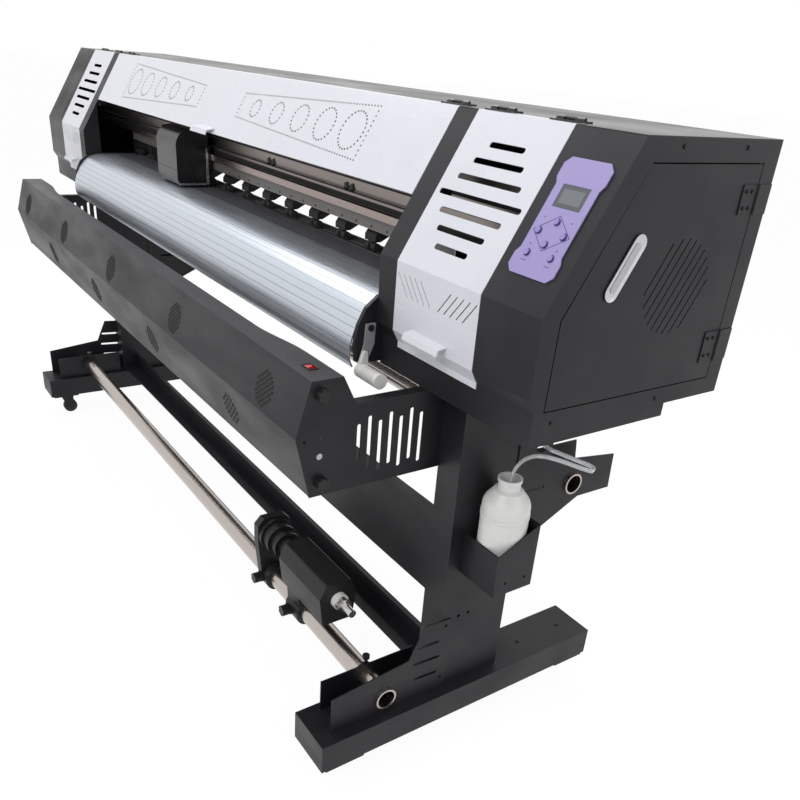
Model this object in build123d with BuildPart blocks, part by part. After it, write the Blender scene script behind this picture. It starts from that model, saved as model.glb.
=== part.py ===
"""Wide-format roll printer on a wheeled stand, with a front dryer and a take-up unit.

Millimetres. +X is the machine's right-hand end (the one with the keypad), -Y is its
front, +Z is up. The origin is on the floor, under the middle of the whole machine.
"""

from build123d import *
import os
from math import atan2, cos, degrees, hypot, radians, sin, tan

os.makedirs("parts", exist_ok=True)

# ---------------------------------------------------------------- driving sizes
machine_width = 2700.0
sheet = 1.5             # painted steel sheet of the covers and housings
plate = 2.5             # thicker bracket plate
tube_wall = 3.0         # wall of the welded stand tubes
running_gap = 0.05      # radial gap of a shaft in its bearing
slide_gap = 0.3         # gap round a block that slides on its guide
seam = 2.0              # gap round a door or cover
side_fixing_height = 5.0    # how far hinges and screw heads stand off the machine's ends

# Side profile of the machine body (y, z)
top_z = 1297.0
top_front_y = -32.0
back_y = 285.0
front_y = -173.4
fold_z = 1060.4
chamfer_z = 939.5
skirt_y = -160.7
skirt_z = 918.0
body_bottom_z = 860.0
back_bottom_z = 883.0
back_step_y = 146.0

# Where the parts of the body lie along the machine
end_x = machine_width / 2
panel_block_width = 134.0    # black block at each end that carries the keypad on the right
end_cover_width = 222.0
strip_width = 52.0           # black strip beside each end cover
left_extra = 50.0            # the left tower is this much wider than the right one
right_cover_x = (end_x - panel_block_width - end_cover_width, end_x - panel_block_width)
right_inner_x = right_cover_x[0] - strip_width
left_cover_x = (-right_cover_x[1] + left_extra, -right_cover_x[0] + left_extra)
left_inner_x = left_cover_x[1] + strip_width
print_x = (left_inner_x, right_inner_x)

# Print zone
bed_z = 989.0
bed_front_y = -76.0
bed_back_y = 47.0
bed_sheet = 3.0
base_z = 905.0               # top of the base beam, underside of the vacuum box
roller_y = 5.0
grit_radius = 10.5
grit_proud = 0.5
pinch_radius = 9.0
pinch_pitch = 126.0
pinch_count = 15
pinch_centre_x = 12.0
pinch_shaft_y = 35.0
pinch_shaft_z = 1040.0
pinch_shaft_radius = 6.0
journal_radius = 6.0
beam_front_y = -8.0
beam_depth = 80.0
beam_bottom_z = 1062.0
beam_height = 150.0
beam_wall = 4.0
beam_reach = 1300.0
rail_z = 1064.0
rail_size = 15.0
belt_z = 1114.0
belt_width = 8.0
belt_thickness = 1.5
pulley_radius = 13.0
pulley_x = 1250.0
pulley_pin_radius = 4.0
lever_pin = (-188.0, 930.0)
lever_pin_radius = 6.0
grip_at = (-206.0, 854.0)
grip_radius = 14.0
grip_length = 68.0
carriage_x = (-333.0, -180.0)
carriage_front_y = -118.0
carriage_top_z = 1140.0
head_gap = 6.0

# Stand
foot_width = 116.0
foot_overhang = 21.5         # the foot's inner side stands this far inside the post's
foot_height = 68.0
foot_front_y = -367.0
foot_back_y = 385.0
caster_height = 80.0
post_inner_x = 1037.0
post_width = 66.0
post_front_y = -74.0
post_back_y = 103.0
wheel_radius = 25.0
wheel_width = 20.0
caster_inset = 55.0
caster_x = 1052.0
caster_trail = 16.0
axle_radius = 3.0
kingpin_radius = 5.0
cross_panel_z = (376.0, 546.0)
lower_beam_z = (160.0, 210.0)
lower_beam_lip = 12.0
lower_beam_depth = 60.0

# Steel tubes, take-up unit and rear roll brackets
roll_tube_radius = 24.0
roll_tube_bore = 20.0
roll_tube_reach = 1112.0
front_tube = (-206.0, 186.0)
rear_tube = (245.0, 586.0)
drive_rise = 122.0           # height of the roll's axis above the front tube
spindle_radius = 9.0
motor_x = (712.0, 905.0)
holder_x = 585.0
holder_thickness = 22.0

# Dryer
dryer_front_y = -385.0
dryer_break_z = 786.0
dryer_top_z = 885.6
dryer_top_front_y = -356.0
dryer_top_depth = 44.0
dryer_end_depth = 61.0
dryer_bottom_y = -357.0
dryer_bottom_z = 670.0
arm_top_z = 830.0
arm_neck_y = -267.0
blower_radius = 25.0
blower_at = (-338.0, 745.0)

# Keypad on the slanted face of the right-hand block: (x, distance up the slope)
keypad_centre = (1283.5, 114.5)
# where each key lies from the keypad's centre: (along X, up the slope)
key_at = {"key_up": (0.0, 17.5), "key_down": (0.0, -17.5), "key_left": (-25.0, 0.0), "key_right": (25.0, 0.0),
          "key_menu": (-24.0, -34.5), "key_enter": (24.0, -33.5)}
key_radius = 4.5
key_stem_radius = 3.0
key_travel = 1.5
keypad_thickness = 2.0

# Waste bottle and its holder
bottle_radius = 47.5
bottle_at = (1154.5, 10.0)
bottle_bottom_z = 449.5
bottle_height = 229.0
bottle_wall = 1.5
holder_box_depth = 103.0
holder_box_y = (-40.0, 60.0)
holder_box_z = (447.0, 540.0)
holder_back_z = 588.0
hose_hole = (136.0, 695.0)    # where the waste tubes pass the rear bracket's outer plate (y, z)

# ---------------------------------------------------------------- worked-out places
slope = atan2(top_z - fold_z, top_front_y - front_y)
slope_length = hypot(top_z - fold_z, top_front_y - front_y)
slant = Plane(origin=(0, front_y, fold_z), x_dir=(1, 0, 0), z_dir=(0, -sin(slope), cos(slope)))
post_outer_x = post_inner_x + post_width
foot_top_z = caster_height + foot_height
foot_inner_x = post_inner_x - foot_overhang
foot_outer_x = foot_inner_x + foot_width
drive_axis = (front_tube[0], front_tube[1] + drive_rise)
grit_axis = (roller_y, bed_z + grit_proud - grit_radius)
pinch_axis = (roller_y, bed_z + grit_proud + slide_gap + pinch_radius)
pin_y = top_front_y + 25.0
pin_z = top_z + 4.0
door_pin_y = 250.0
door_pin_x = end_x + side_fixing_height / 2
skin_z = top_z - sheet
dryer_plate_x = post_inner_x
sides = (-1, 1)


# ---------------------------------------------------------------- shape helpers
def block(x, y, z, mode=Mode.ADD):
    """A box between two values on each axis."""
    with Locations(((x[0] + x[1]) / 2, (y[0] + y[1]) / 2, (z[0] + z[1]) / 2)):
        Box(x[1] - x[0], y[1] - y[0], z[1] - z[0], mode=mode)


def span(side, inner, outer):
    """An X range on the left (-1) or the right (+1) of the machine."""
    return (inner, outer) if side > 0 else (-outer, -inner)


def prism(points, x, mode=Mode.ADD):
    """A (y, z) outline extruded along X."""
    with BuildSketch(Plane.YZ.offset(x[0])) as outline:
        with BuildLine():
            Polyline(*points, close=True)
        make_face()
    extrude(outline.sketch, amount=x[1] - x[0], mode=mode)


def folded(points, x, thickness, side=Side.RIGHT):
    """A bent sheet: an open (y, z) line given a thickness and extruded along X."""
    with BuildSketch(Plane.YZ.offset(x[0])) as outline:
        with BuildLine():
            Polyline(*points)
            offset(amount=thickness, side=side, kind=Kind.INTERSECTION)
        make_face()
    extrude(outline.sketch, amount=x[1] - x[0])


def rod(at, radius, x, mode=Mode.ADD):
    """A round bar or hole along X through (y, z)."""
    with BuildSketch(Plane.YZ.offset(x[0])) as disc:
        with Locations(at):
            Circle(radius)
    extrude(disc.sketch, amount=x[1] - x[0], mode=mode)


def rod_y(x, z, radius, y, mode=Mode.ADD):
    """A round bar or hole along Y through (x, z)."""
    with BuildSketch(Plane((x, y[0], z), x_dir=(1, 0, 0), z_dir=(0, 1, 0))) as disc:
        Circle(radius)
    extrude(disc.sketch, amount=y[1] - y[0], mode=mode)


def rod_z(x, y, radius, z, mode=Mode.ADD):
    """A round bar or hole along Z through (x, y)."""
    with BuildSketch(Plane.XY.offset(z[0])) as disc:
        with Locations((x, y)):
            Circle(radius)
    extrude(disc.sketch, amount=z[1] - z[0], mode=mode)


def up_slope(s, depth=0.0):
    """The (y, z) of a point at distance s up the slanted face, depth under its surface."""
    return (front_y + s * cos(slope) + depth * sin(slope), fold_z + s * sin(slope) - depth * cos(slope))


def save(builder, name):
    """Labels a finished piece and writes it as its own node."""
    builder.part.label = name
    export_step(builder.part, "parts/" + name + ".step")


# ---------------------------------------------------------------- stand
with BuildPart() as legs:
    for side in sides:
        block(span(side, foot_inner_x, foot_outer_x), (foot_front_y, foot_back_y), (caster_height, foot_top_z))
        block(span(side, foot_inner_x + tube_wall, foot_outer_x - tube_wall),
              (foot_front_y + tube_wall, foot_back_y - tube_wall),
              (caster_height, foot_top_z - tube_wall), Mode.SUBTRACT)
        for caster_y in (foot_front_y + caster_inset, foot_back_y - caster_inset):
            block(span(side, foot_inner_x, foot_outer_x), (caster_y - 45, caster_y + 45),
                  (caster_height - 4, caster_height + tube_wall))
            rod_z(side * caster_x, caster_y, kingpin_radius + running_gap,
                  (caster_height - 4, caster_height + tube_wall), Mode.SUBTRACT)
        block(span(side, post_inner_x, post_outer_x), (post_front_y, post_back_y), (foot_top_z, body_bottom_z))
        block(span(side, post_inner_x + tube_wall, post_outer_x - tube_wall),
              (post_front_y + tube_wall, post_back_y - tube_wall),
              (foot_top_z, body_bottom_z), Mode.SUBTRACT)
        for hole_y in (-28.0, -2.0):
            rod((hole_y, 330.0), 4.0, span(side, post_outer_x - tube_wall, post_outer_x), Mode.SUBTRACT)
save(legs, "legs")

with BuildPart() as lower_beam:
    web_y = post_front_y + lower_beam_depth
    folded([(post_front_y, lower_beam_z[0]), (web_y, lower_beam_z[0]), (web_y, lower_beam_z[1]),
            (web_y - lower_beam_lip, lower_beam_z[1])],
           (-post_inner_x, post_inner_x), plate, Side.LEFT)
save(lower_beam, "lower_beam")

with BuildPart() as cross_panel:
    flange_y = post_front_y + 40.0
    folded([(flange_y, cross_panel_z[0]), (post_front_y, cross_panel_z[0]),
            (post_front_y, cross_panel_z[1]), (flange_y, cross_panel_z[1])],
           (-post_inner_x, post_inner_x), sheet)
save(cross_panel, "cross_panel")

# Casters: the fork turns under the foot, and the wheel trails behind its kingpin
fork_gap = 1.0
fork_top_z = caster_height - 4.0 - slide_gap
cheek_x = wheel_width / 2 + fork_gap
for side, side_name in ((-1, "left"), (1, "right")):
    for end_name, caster_y in (("front", foot_front_y + caster_inset), ("back", foot_back_y - caster_inset)):
        axle_y = caster_y + caster_trail
        centre_x = side * caster_x
        with BuildPart() as fork:
            block((centre_x - cheek_x - plate, centre_x + cheek_x + plate), (caster_y - 18, axle_y + 14),
                  (fork_top_z - 6, fork_top_z))
            rod_z(centre_x, caster_y, kingpin_radius, (fork_top_z, caster_height + tube_wall))
            for cheek in sides:
                inner = centre_x + cheek * cheek_x
                outer = centre_x + cheek * (cheek_x + plate)
                cheek_span = (min(inner, outer), max(inner, outer))
                prism([(caster_y - 18, fork_top_z), (axle_y + 14, fork_top_z), (axle_y + 9, wheel_radius - 8),
                       (axle_y - 9, wheel_radius - 8)], cheek_span)
            rod((axle_y, wheel_radius), axle_radius,
                (centre_x - cheek_x - plate - 2, centre_x + cheek_x + plate + 2))
        save(fork, "caster_fork_" + side_name + "_" + end_name)
        with BuildPart() as wheel:
            rod((axle_y, wheel_radius), wheel_radius, (centre_x - wheel_width / 2, centre_x + wheel_width / 2))
            rod((axle_y, wheel_radius), axle_radius + running_gap,
                (centre_x - wheel_width / 2, centre_x + wheel_width / 2), Mode.SUBTRACT)
            fillet(wheel.edges().filter_by(GeomType.CIRCLE).group_by(SortBy.RADIUS)[-1], 2.0)
        save(wheel, "caster_wheel_" + side_name + "_" + end_name)

# ---------------------------------------------------------------- front and rear roll brackets
tube_clear = roll_tube_radius + running_gap
with BuildPart() as takeup_brackets:
    for side in sides:
        outer_plate = span(side, post_outer_x, post_outer_x + plate)
        inner_plate = span(side, post_inner_x - plate, post_inner_x)
        toe_y = foot_front_y + 33.0
        heel_y = post_front_y + 25.0
        prism([(toe_y, foot_top_z), (heel_y, foot_top_z), (heel_y, 332), (-116, 336), (-150, 260), (toe_y, 238)],
              outer_plate)
        block(span(side, post_inner_x - plate, post_outer_x + plate), (toe_y, post_front_y - 1),
              (foot_top_z, foot_top_z + plate))
        prism([(toe_y + 14, foot_top_z), (post_front_y - 16, foot_top_z), (post_front_y - 16, 226),
               (toe_y + 14, 226)], inner_plate)
        for slot_y, slot_z, slot_length in ((-103, 284, 58), (-104, 242, 68), (-103, 200, 60)):
            with BuildSketch(Plane.YZ.offset(outer_plate[0])) as slot:
                with Locations((slot_y, slot_z)):
                    SlotOverall(slot_length, 7, rotation=-3)
            extrude(slot.sketch, amount=plate, mode=Mode.SUBTRACT)
        for hole_z in (179.0, 318.0):
            rod((post_front_y + 12, hole_z), 4.0, outer_plate, Mode.SUBTRACT)
        rod(front_tube, tube_clear + 5, span(side, post_inner_x - 18, post_inner_x))
        block(span(side, post_inner_x - 16, post_inner_x - 4), (front_tube[0] - 8, front_tube[0] + 8),
              (front_tube[1] + 24, front_tube[1] + 34))
        rod(front_tube, tube_clear, span(side, post_inner_x - 18, post_outer_x + plate), Mode.SUBTRACT)
        rod_z(side * (post_inner_x - 10), front_tube[0], 3.0,
              (front_tube[1] + tube_clear, front_tube[1] + 56))
        rod_z(side * (post_inner_x - 10), front_tube[0], 8.0, (front_tube[1] + 48, front_tube[1] + 56))
save(takeup_brackets, "takeup_brackets")

with BuildPart() as rear_brackets:
    for side in sides:
        outer_plate = span(side, post_outer_x, post_outer_x + plate)
        inner_plate = span(side, post_inner_x - plate, post_inner_x)
        prism([(post_back_y - 29, body_bottom_z), (166, body_bottom_z), (166, 656), (366, 630), (370, 546),
               (272, 547), (post_back_y - 29, 448)], outer_plate)
        prism([(post_back_y - 43, 650), (316, 645), (330, 547), (272, 547), (post_back_y - 43, 448)], inner_plate)
        for depth in (outer_plate, inner_plate):
            rod(rear_tube, tube_clear, depth, Mode.SUBTRACT)
            with BuildSketch(Plane.YZ.offset(depth[0])) as slot:
                with Locations((134, 598)):
                    SlotOverall(54, 7)
            extrude(slot.sketch, amount=plate, mode=Mode.SUBTRACT)
        block(span(side, post_inner_x, post_outer_x), (post_back_y, post_back_y + 14), (470, 474))
        rod(hose_hole, 14.0, outer_plate, Mode.SUBTRACT)
save(rear_brackets, "rear_brackets")

with BuildPart() as steel_tubes:
    for tube_at in (front_tube, rear_tube):
        rod(tube_at, roll_tube_radius, (-roll_tube_reach, roll_tube_reach))
        rod(tube_at, roll_tube_bore, (-roll_tube_reach, roll_tube_reach), Mode.SUBTRACT)
save(steel_tubes, "steel_tubes")

# ---------------------------------------------------------------- take-up unit on the front tube
tube_slide = roll_tube_radius + slide_gap
drive_y, drive_z = drive_axis
knob_y = front_tube[0] - roll_tube_radius - 14.0
knob_radius = 13.0
knob_screw = 4.0


def clamp_ring(x, centre_x):
    """The split ring that grips the front tube, with a boss for its knob's screw."""
    rod(front_tube, tube_slide + 9, x)
    block((centre_x - 10, centre_x + 10), (knob_y, front_tube[0] - tube_slide), (front_tube[1] - 10, front_tube[1] + 10))


def bore_clamp(x, centre_x):
    """Cuts the tube's hole and the knob's screw hole in a clamp."""
    rod(front_tube, tube_slide, x, Mode.SUBTRACT)
    rod_y(centre_x, front_tube[1], knob_screw + running_gap, (knob_y, front_tube[0] - tube_slide), Mode.SUBTRACT)


def clamp_knob(centre_x):
    """A lobed thumb knob on the screw that locks a clamp to the tube."""
    rod_y(centre_x, front_tube[1], knob_screw, (knob_y - 4, front_tube[0] - tube_slide))
    rod_y(centre_x, front_tube[1], knob_radius, (knob_y - 18, knob_y - slide_gap))
    with BuildSketch(Plane((centre_x, knob_y - 18, front_tube[1]), x_dir=(1, 0, 0), z_dir=(0, 1, 0))) as flutes:
        with PolarLocations(knob_radius + 1.5, 6):
            Circle(3.5)
    extrude(flutes.sketch, amount=18 - slide_gap, mode=Mode.SUBTRACT)


motor_clamp_x = (motor_x[0] + 8, motor_x[0] + 66)
motor_clamp_centre = motor_x[0] + 30
with BuildPart() as takeup_motor:
    prism([(drive_y - 38, drive_z - 60), (drive_y - 46, drive_z + 10), (drive_y - 30, drive_z + 44),
           (drive_y + 30, drive_z + 44), (drive_y + 46, drive_z + 10), (drive_y + 38, drive_z - 60)], motor_x)
    fillet(takeup_motor.edges().filter_by(Axis.X), 5.0)
    prism([(drive_y - 26, front_tube[1]), (drive_y - 30, drive_z - 50), (drive_y + 30, drive_z - 50),
           (drive_y + 26, front_tube[1])], motor_clamp_x)
    clamp_ring(motor_clamp_x, motor_clamp_centre)
    bore_clamp(motor_clamp_x, motor_clamp_centre)
    rod(drive_axis, spindle_radius + 3 + running_gap, motor_x, Mode.SUBTRACT)
save(takeup_motor, "takeup_motor")

with BuildPart() as motor_knob:
    clamp_knob(motor_clamp_centre)
save(motor_knob, "motor_knob")

# The spindle turns in the motor housing and ends in a white collar and a cross coupling
with BuildPart() as drive_chuck:
    chuck_face = motor_x[1] + 1.0
    rod(drive_axis, spindle_radius + 3, (motor_x[0] + 5, chuck_face))
    rod(drive_axis, 19.0, (chuck_face, chuck_face + 12))
    rod(drive_axis, 14.0, (chuck_face + 12, chuck_face + 30))
    rod(drive_axis, spindle_radius, (chuck_face + 30, chuck_face + 60))
    block((chuck_face + 16, chuck_face + 28), (drive_y - 17, drive_y + 17), (drive_z - 4, drive_z + 4))
    block((chuck_face + 16, chuck_face + 28), (drive_y - 4, drive_y + 4), (drive_z - 17, drive_z + 17))
save(drive_chuck, "drive_chuck")

holder_span = (holder_x - holder_thickness / 2, holder_x + holder_thickness / 2)
cone_pin_radius = 10.0
with BuildPart() as roll_holder:
    prism([(drive_y - 34, front_tube[1]), (drive_y - 44, drive_z - 20), (drive_y - 44, drive_z + 28),
           (drive_y - 28, drive_z + 46), (drive_y + 28, drive_z + 46), (drive_y + 44, drive_z + 28),
           (drive_y + 44, drive_z - 20), (drive_y + 34, front_tube[1])], holder_span)
    clamp_ring((holder_span[0], holder_span[1] + 22), holder_x + 5)
    bore_clamp((holder_span[0], holder_span[1] + 22), holder_x + 5)
    rod(drive_axis, cone_pin_radius + running_gap, holder_span, Mode.SUBTRACT)
save(roll_holder, "roll_holder")

with BuildPart() as holder_knob:
    clamp_knob(holder_x + 5)
save(holder_knob, "holder_knob")

# The stepped plug that a roll's cardboard core pushes onto
with BuildPart() as roll_cone:
    cone_x = holder_span[1] + 1.0
    rod(drive_axis, cone_pin_radius, (holder_span[0] - 4, cone_x))
    rod(drive_axis, cone_pin_radius + 6, (holder_span[0] - 8, holder_span[0] - 1))
    for radius, start, end in ((43, 0, 12), (37, 12, 34), (40, 34, 42), (32, 42, 64), (35, 64, 70), (25, 70, 104)):
        rod(drive_axis, radius, (cone_x + start, cone_x + end))
save(roll_cone, "roll_cone")

# ---------------------------------------------------------------- dryer
housing_reach = dryer_plate_x - 2.0
vent_radius = 33.0
with BuildPart() as dryer_housing:
    folded([(dryer_top_front_y + dryer_top_depth, dryer_top_z), (dryer_top_front_y, dryer_top_z),
            (dryer_front_y, dryer_break_z), (dryer_bottom_y, dryer_bottom_z), (dryer_bottom_y + 90, dryer_bottom_z)],
           (-housing_reach, housing_reach), sheet, Side.LEFT)
    for side in sides:
        with BuildSketch(Plane.XY.offset(dryer_top_z - sheet)) as flare:
            with BuildLine():
                inner_x = side * (housing_reach - 130)
                corner_y = dryer_top_front_y + dryer_top_depth
                Polyline((side * (housing_reach - 300), corner_y), (side * housing_reach, corner_y),
                         (side * housing_reach, dryer_top_front_y + dryer_end_depth),
                         (inner_x, dryer_top_front_y + dryer_end_depth))
                Spline((inner_x, dryer_top_front_y + dryer_end_depth), (side * (housing_reach - 300), corner_y),
                       tangents=((-side, 0), (-side, 0)))
            make_face()
        extrude(flare.sketch, amount=sheet)
    switch_x = dryer_plate_x - 62.0
    switch_y = dryer_top_front_y + 30.0
    block((switch_x - 14.5, switch_x + 14.5), (switch_y - 9, switch_y + 9), (dryer_top_z - 10, dryer_top_z + 1.5))
    block((switch_x - 12.5, switch_x + 12.5), (switch_y - 7, switch_y + 7), (dryer_top_z - 10, dryer_top_z + 1.5),
          Mode.SUBTRACT)
    rod_y(switch_x, dryer_top_z - 4, 1.5, (switch_y - 9, switch_y + 9))
save(dryer_housing, "dryer_housing")

with BuildPart() as rocker_switch:
    with BuildSketch(Plane.XZ.offset(-switch_y - 6.5)) as rocker:
        with BuildLine():
            Polyline((switch_x - 10, dryer_top_z + 0.5), (switch_x, dryer_top_z - 1), (switch_x + 10, dryer_top_z + 4),
                     (switch_x + 10, dryer_top_z - 2), (switch_x + 4, dryer_top_z - 8),
                     (switch_x - 4, dryer_top_z - 8), (switch_x - 10, dryer_top_z - 4), close=True)
        make_face()
    extrude(rocker.sketch, amount=13)
    rod_y(switch_x, dryer_top_z - 4, 1.5 + running_gap, (switch_y - 9, switch_y + 9), Mode.SUBTRACT)
save(rocker_switch, "rocker_switch")

thumb_at = ((-338.0, 860.5), (-336.0, 695.7))
with BuildPart() as dryer_ends:
    for side in sides:
        end_span = span(side, dryer_plate_x - 2.0, dryer_plate_x)
        prism([(dryer_top_front_y, dryer_top_z), (dryer_front_y, dryer_break_z), (dryer_bottom_y, dryer_bottom_z - 2),
               (post_front_y + 100, dryer_bottom_z - 2), (post_front_y + 100, arm_top_z), (arm_neck_y, arm_top_z),
               (dryer_top_front_y + dryer_end_depth, dryer_top_z)], end_span)
        block(span(side, dryer_plate_x - 24, dryer_plate_x), (arm_neck_y, post_front_y), (arm_top_z, arm_top_z + 2))
        for number in range(7):
            low, high = ((700.0, 804.0) if number % 2 else (690.0, 792.0))
            low = low if number else 721.0
            with BuildSketch(Plane.YZ.offset(end_span[0])) as slot:
                with Locations((-260 + 22.5 * number, (low + high) / 2)):
                    SlotOverall(high - low, 8, rotation=90)
            extrude(slot.sketch, amount=2.0, mode=Mode.SUBTRACT)
        for hole_at in ((-368.0, 778.5), (-334.0, 779.0)):
            rod(hole_at, 2.5, end_span, Mode.SUBTRACT)
        for hole_at in thumb_at:
            rod(hole_at, 4.0 + running_gap, end_span, Mode.SUBTRACT)
        rod(blower_at, journal_radius + running_gap, end_span, Mode.SUBTRACT)
save(dryer_ends, "dryer_ends")

with BuildPart() as thumb_screws:
    for side in sides:
        for y, z in thumb_at:
            rod((y, z), 4.0, span(side, dryer_plate_x - 8, dryer_plate_x))
            rod((y, z), 12.0, span(side, dryer_plate_x, dryer_plate_x + 14))
            with BuildSketch(Plane.YZ.offset(span(side, dryer_plate_x, dryer_plate_x + 14)[0])) as flutes:
                with Locations((y, z)):
                    with PolarLocations(13.0, 6):
                        Circle(3.5)
            extrude(flutes.sketch, amount=14, mode=Mode.SUBTRACT)
save(thumb_screws, "thumb_screws")

# Infrared lamps in a folded reflector that hangs between the dryer's end plates
with BuildPart() as heaters:
    reflector = [(-296, 858), (-304, 842), (-304, 812), (-296, 796)]
    folded(reflector, (-housing_reach, housing_reach), sheet)
    for lamp in range(4):
        lamp_x = -720.0 + 480.0 * lamp
        rod((-292, 827), 6.0, (lamp_x - 190, lamp_x + 190))
        for end in sides:
            block((lamp_x + end * 200 - 12, lamp_x + end * 200 + 12), (-304, -282), (818, 836))
save(heaters, "heaters")

# Cross-flow blower wheel along the dryer
with BuildPart() as blower_rotor:
    rotor_reach = housing_reach - 35.0
    for disc in range(6):
        disc_x = -rotor_reach + disc * (2 * rotor_reach - 4) / 5
        rod(blower_at, blower_radius, (disc_x, disc_x + 4))
    rod(blower_at, journal_radius, (-dryer_plate_x + 0.5, dryer_plate_x - 0.5))
    with BuildSketch(Plane.YZ.offset(-rotor_reach)) as blades:
        with Locations(blower_at):
            with PolarLocations(blower_radius - 4, 14):
                Rectangle(7, 1.5, rotation=35)
    extrude(blades.sketch, amount=2 * rotor_reach)
save(blower_rotor, "blower_rotor")

# ---------------------------------------------------------------- print zone
base_front_y = -140.0
base_back_y = 150.0
base_bottom_z = body_bottom_z + 4.0
with BuildPart() as vacuum_bed:
    # Hollow base beam that carries the print zone between the towers
    block(print_x, (base_front_y, base_back_y), (base_bottom_z, base_z))
    fillet(vacuum_bed.edges().filter_by(Axis.X), 6.0)
    block(print_x, (base_front_y + bed_sheet, base_back_y - bed_sheet), (base_bottom_z + bed_sheet, base_z - bed_sheet),
          Mode.SUBTRACT)
    # Suction box: bed in front of the roller, trough under it, media guide curving down behind it
    slot_gap = 1.5
    folded([(roller_y - grit_radius - slot_gap, bed_z), (bed_front_y, bed_z), (bed_front_y, base_z),
            (bed_back_y + 49, base_z), (bed_back_y + 49, bed_z - 44), (bed_back_y + 38, bed_z - 20),
            (bed_back_y + 20, bed_z - 5), (bed_back_y, bed_z), (roller_y + grit_radius + slot_gap, bed_z)],
           print_x, bed_sheet, Side.LEFT)
save(vacuum_bed, "vacuum_bed")

# Curved front platen: flat top, quarter turn, then a tail that curls back under
platen_gap = 11.0
platen_x = (print_x[0] + platen_gap, print_x[1] - platen_gap)
with BuildPart() as platen:
    with BuildSketch(Plane.YZ.offset(platen_x[0])) as outline:
        with BuildLine():
            top_run = Line((bed_front_y, bed_z), (-129, bed_z))
            shoulder = TangentArc(top_run @ 1, (-197, 954), tangent=top_run % 1)
            nose = TangentArc(shoulder @ 1, (-223, 885), tangent=shoulder % 1)
            TangentArc(nose @ 1, (-215, 854), tangent=nose % 1)
            offset(amount=bed_sheet, side=Side.LEFT)
        make_face()
    extrude(outline.sketch, amount=platen_x[1] - platen_x[0])
    rib_count = 5
    for rib in range(rib_count):
        rib_x = platen_x[0] + 2 + rib * (platen_x[1] - platen_x[0] - 8) / (rib_count - 1)
        prism([(bed_front_y, bed_z - 2), (-126, bed_z - 2), (-150, bed_z - 29), (-150, base_z - 30),
               (base_front_y, base_z - 30), (base_front_y, base_z), (bed_front_y, base_z)], (rib_x, rib_x + 4))
save(platen, "platen")

with BuildPart() as grit_roller:
    rod(grit_axis, grit_radius, (print_x[0] + 4, print_x[1] - 4))
    rod(grit_axis, journal_radius, (print_x[0] - 22, print_x[1] + 60))
save(grit_roller, "grit_roller")

# Pinch rollers: every arm hangs from one rocking shaft and carries a pair of rollers
pinch_places = [pinch_centre_x + pinch_pitch * (index - pinch_count // 2) for index in range(pinch_count)]
with BuildPart() as pinch_arms:
    rod((pinch_shaft_y, pinch_shaft_z), pinch_shaft_radius, (print_x[0] - 22, print_x[1] + 22))
    for arm_x in pinch_places:
        prism([(pinch_shaft_y + 9, pinch_shaft_z + 9), (pinch_shaft_y - 20, pinch_shaft_z + 9),
               (pinch_axis[0] - 8, pinch_axis[1] + 24), (pinch_axis[0] - 8, pinch_axis[1] + 12),
               (pinch_axis[0] + 6, pinch_axis[1] + 12), (pinch_shaft_y + 9, pinch_shaft_z - 12)],
              (arm_x - 21, arm_x + 21))
        prism([(pinch_axis[0] - 6, pinch_axis[1] + 13), (pinch_axis[0] - 6, pinch_axis[1] - 5),
               (pinch_axis[0] + 6, pinch_axis[1] - 5), (pinch_axis[0] + 6, pinch_axis[1] + 13)],
              (arm_x - 5, arm_x + 5))
        rod(pinch_axis, 2.5 + running_gap, (arm_x - 5, arm_x + 5), Mode.SUBTRACT)
save(pinch_arms, "pinch_arms")

with BuildPart() as pinch_rollers:
    for arm_x in pinch_places:
        rod(pinch_axis, 2.5, (arm_x - 20, arm_x + 20))
        for roller in sides:
            rod(pinch_axis, pinch_radius, (arm_x + roller * 12 - 6, arm_x + roller * 12 + 6))
save(pinch_rollers, "pinch_rollers")

# Carriage beam: hollow extrusion with a cable groove and a front lip that bears the ruled scale
beam_back_y = beam_front_y + beam_depth
beam_top_z = beam_bottom_z + beam_height
with BuildPart() as beam:
    block((-beam_reach, beam_reach), (beam_front_y, beam_back_y), (beam_bottom_z, beam_top_z))
    block((-beam_reach, beam_reach), (beam_front_y + beam_wall + 4, beam_back_y - beam_wall),
          (beam_bottom_z + beam_wall, beam_top_z - beam_wall), Mode.SUBTRACT)
    block((-beam_reach, beam_reach), (beam_front_y, beam_front_y + 3), (rail_z + rail_size, rail_z + rail_size + 12),
          Mode.SUBTRACT)
    block((-beam_reach, beam_reach), (beam_front_y, beam_front_y + 3), (1150, 1162), Mode.SUBTRACT)
    block(print_x, (beam_front_y, beam_front_y + 6), (1036, beam_bottom_z))
    for pulley_side in sides:
        rod_y(pulley_side * pulley_x, belt_z, pulley_pin_radius, (beam_front_y - 14, beam_front_y + beam_wall))
save(beam, "beam")

with BuildPart() as rail:
    rail_front_y = beam_front_y - rail_size + 1
    block((-pulley_x + 20, pulley_x - 20), (rail_front_y, beam_front_y), (rail_z, rail_z + rail_size))
    for groove_z in (rail_z, rail_z + rail_size):
        block((-pulley_x + 20, pulley_x - 20), (rail_front_y + 4, rail_front_y + 8), (groove_z - 2, groove_z + 2),
              Mode.SUBTRACT)
save(rail, "rail")

belt_y = (beam_front_y - 12.0, beam_front_y - 12.0 + belt_width)
belt_inner = pulley_radius + running_gap
with BuildPart() as belt:
    with BuildSketch(Plane((0, belt_y[1], belt_z), x_dir=(1, 0, 0), z_dir=(0, -1, 0))) as loop:
        SlotCenterToCenter(2 * pulley_x, 2 * (belt_inner + belt_thickness))
        SlotCenterToCenter(2 * pulley_x, 2 * belt_inner, mode=Mode.SUBTRACT)
    extrude(loop.sketch, amount=belt_width)
save(belt, "belt")

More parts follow.
